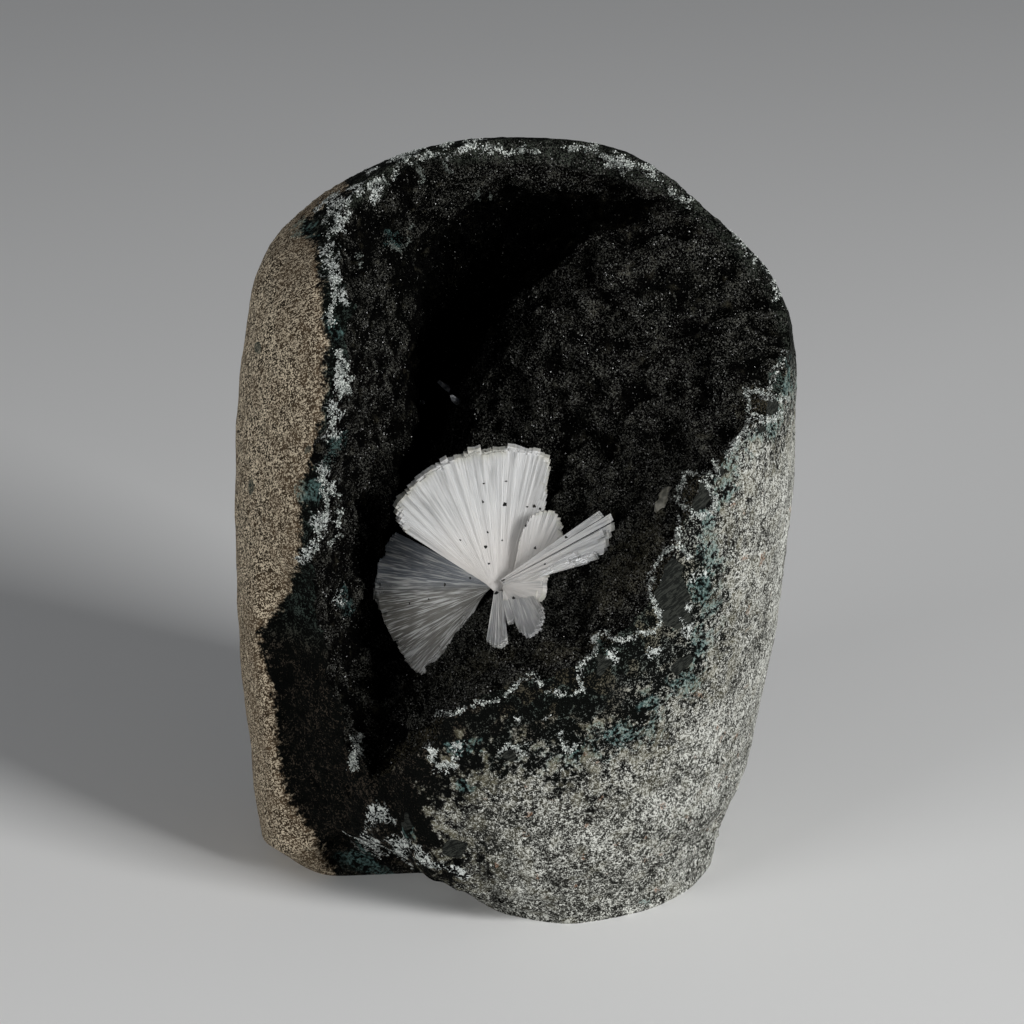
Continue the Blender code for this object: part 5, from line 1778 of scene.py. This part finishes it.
# %% [markdown]
# ## Dust on the sheaf
# A few black crumbs of druse have fallen on the fans. Each is placed where a ruler laid on the drawing
# would find it, and a ray from the viewer then finds the blade it lies on. A random strewing would be
# quicker, but on smooth white blades the eye sees each crumb, so their places are worth listing.

# %% Dust
# Crumbs on the drawing: across, up and half size
DUST = (
    (-1.4, -10.4, 0.63), (-4.0, -5.3, 0.45), (-4.4, 1.5, 0.33), (-1.1, 1.2, 0.39), (2.1, -2.1, 0.30),
    (3.4, 0.9, 0.33), (2.3, 0.8, 0.27), (4.3, 0.5, 0.30), (3.5, -5.5, 0.30), (8.2, -3.8, 0.33),
    (5.0, -7.9, 0.30), (-10.2, -11.1, 0.36), (-12.7, -13.3, 0.33), (-15.6, -13.9, 0.30),
    (-6.4, -10.1, 0.30), (-3.5, -7.9, 0.30), (-7.9, -4.3, 0.27), (-1.5, -4.3, 0.30), (-2.4, -12.4, 0.51),
    (0.2, -13.1, 0.54), (-4.1, 9.3, 0.27), (-0.9, 4.7, 0.27), (-4.3, 4.3, 0.24), (-3.7, -3.1, 0.27),
)
DUST_SUNK = 0.20

sheaf_tree = BVHTree.FromObject(sheaf, graph)
found = [(*seen_place(sheaf_tree, across, up), size) for across, up, size in DUST]
found = [row for row in found if row[0] is not None]
places, normals, sizes = (np.array(column) for column in zip(*found))
dust = make_grains("dust_on_sheaf", places, normals, sizes, DUST_SUNK, random)
dust.data.materials.append(grain_finish("dust"))

# %% [markdown]
# ## The four small crystals
# Their plain shapes are already right, flat faces and sharp edges, so they only get a finish. The three
# in the channel are clear like quartz, and the one on the right slope is milky and waxy. Real crystals of
# this kind are rarely clear throughout, so a cloudy veil inside decides how much of the clear and of the
# milky shader shows.

# %% Finishes of the small crystals
# Small crystals: colour, colour of the veils, how clear they are, roughness
SMALL_LOOKS = {
    "clear_crystal": ((0.70, 0.72, 0.74), (0.45, 0.47, 0.50), 0.55, 0.20),
    "pale_crystal": ((0.19, 0.182, 0.150), (0.10, 0.098, 0.080), 0.12, 0.40),
}
MILK_DEPTH = (0.001, 0.001, 0.0009)
GLASS_CLEAR = (0.90, 0.92, 0.94)


def small_crystal_finish(name):
    """A small crystal, clear to milky, with cloudy veils inside."""
    colour, faint, clear, roughness = SMALL_LOOKS[name]
    finish = Finish(name)
    veil = finish.noise(1.1, 2.0)
    normal = finish.bump(finish.noise(2.0, 1.0) * 0.06)
    milky = {"Base Color": finish.mix(colour, faint, veil.step(0.42, 0.60)), "Roughness": roughness,
             "Subsurface Weight": 0.3, "Subsurface Radius": MILK_DEPTH, "Subsurface Scale": 0.6,
             "Normal": normal}
    glassy = {"Base Color": GLASS_CLEAR, "Roughness": 0.12, "IOR": CRYSTAL_IOR, "Transmission Weight": 1.0,
              "Normal": normal}
    return finish.half_clear(clear + (veil - 0.5) * 0.6, milky, glassy)


small_finishes = {name: small_crystal_finish(name) for name in SMALL_LOOKS}
for name, item in frame["nodes"].items():
    if "crystal" in name:
        look = "pale_crystal" if name == "pale_crystal" else "clear_crystal"
        item.material_slots[0].material = small_finishes[look]
        print(name, "gets the finish", look)


# %% [markdown]
# ## Floor and light
# The stone stands on a plain pale floor under soft studio light. A large key light from the front right
# models the barrel of the stone and reaches into the vug, and a weaker one from the left keeps the tan
# face readable. The rest comes back from the floor and from a dim, pale surrounding, so that the hollow
# stays dark.

# %% Floor and light
FLOOR_SIZE = 6.0
KEY = {"place": (0.80, -0.66, 0.48), "size": 0.40, "power": 13.0}
FILL = {"place": (-0.75, -0.70, 0.30), "size": 0.50, "power": 4.6}
SKY_TINT = (0.88, 0.92, 1.0)
SKY_STRENGTH = 0.09
FLOOR_GREY = (0.80, 0.80, 0.79)
FLOOR_WHITE = (0.84, 0.84, 0.83)


def area_light(name, place, size, power):
    """A square soft light that points at the middle of the stone."""
    lamp = bpy.data.lights.new(name, "AREA")
    lamp.size = size
    lamp.energy = power
    item = bpy.data.objects.new(name, lamp)
    item.location = place
    item.rotation_euler = (Vector(sight) - Vector(place)).to_track_quat("-Z", "Y").to_euler()
    bpy.context.collection.objects.link(item)


def make_floor():
    """A wide pale floor."""
    half = FLOOR_SIZE / 2
    corners = [(-half, -half, 0), (half, -half, 0), (half, half, 0), (-half, half, 0)]
    floor = new_mesh("floor", corners, [(0, 1, 2, 3)])
    finish = Finish("pale_floor")
    colour = finish.mix(FLOOR_GREY, FLOOR_WHITE, finish.noise(0.004, 2.0))
    floor.data.materials.append(finish.surface({"Base Color": colour, "Roughness": 0.9}))


for item in list(bpy.data.objects):
    if item.name in ("Cube", "Light", "Camera"):
        bpy.data.objects.remove(item, do_unlink=True)
make_floor()
area_light("key_light", **KEY)
area_light("fill_light", **FILL)
world = bpy.data.worlds.new("pale_surrounding")
world.use_nodes = True
background = world.node_tree.nodes["Background"]
background.inputs["Color"].default_value = (*SKY_TINT, 1)
background.inputs["Strength"].default_value = SKY_STRENGTH
bpy.context.scene.world = world
bpy.context.scene.view_settings.view_transform = "Standard"
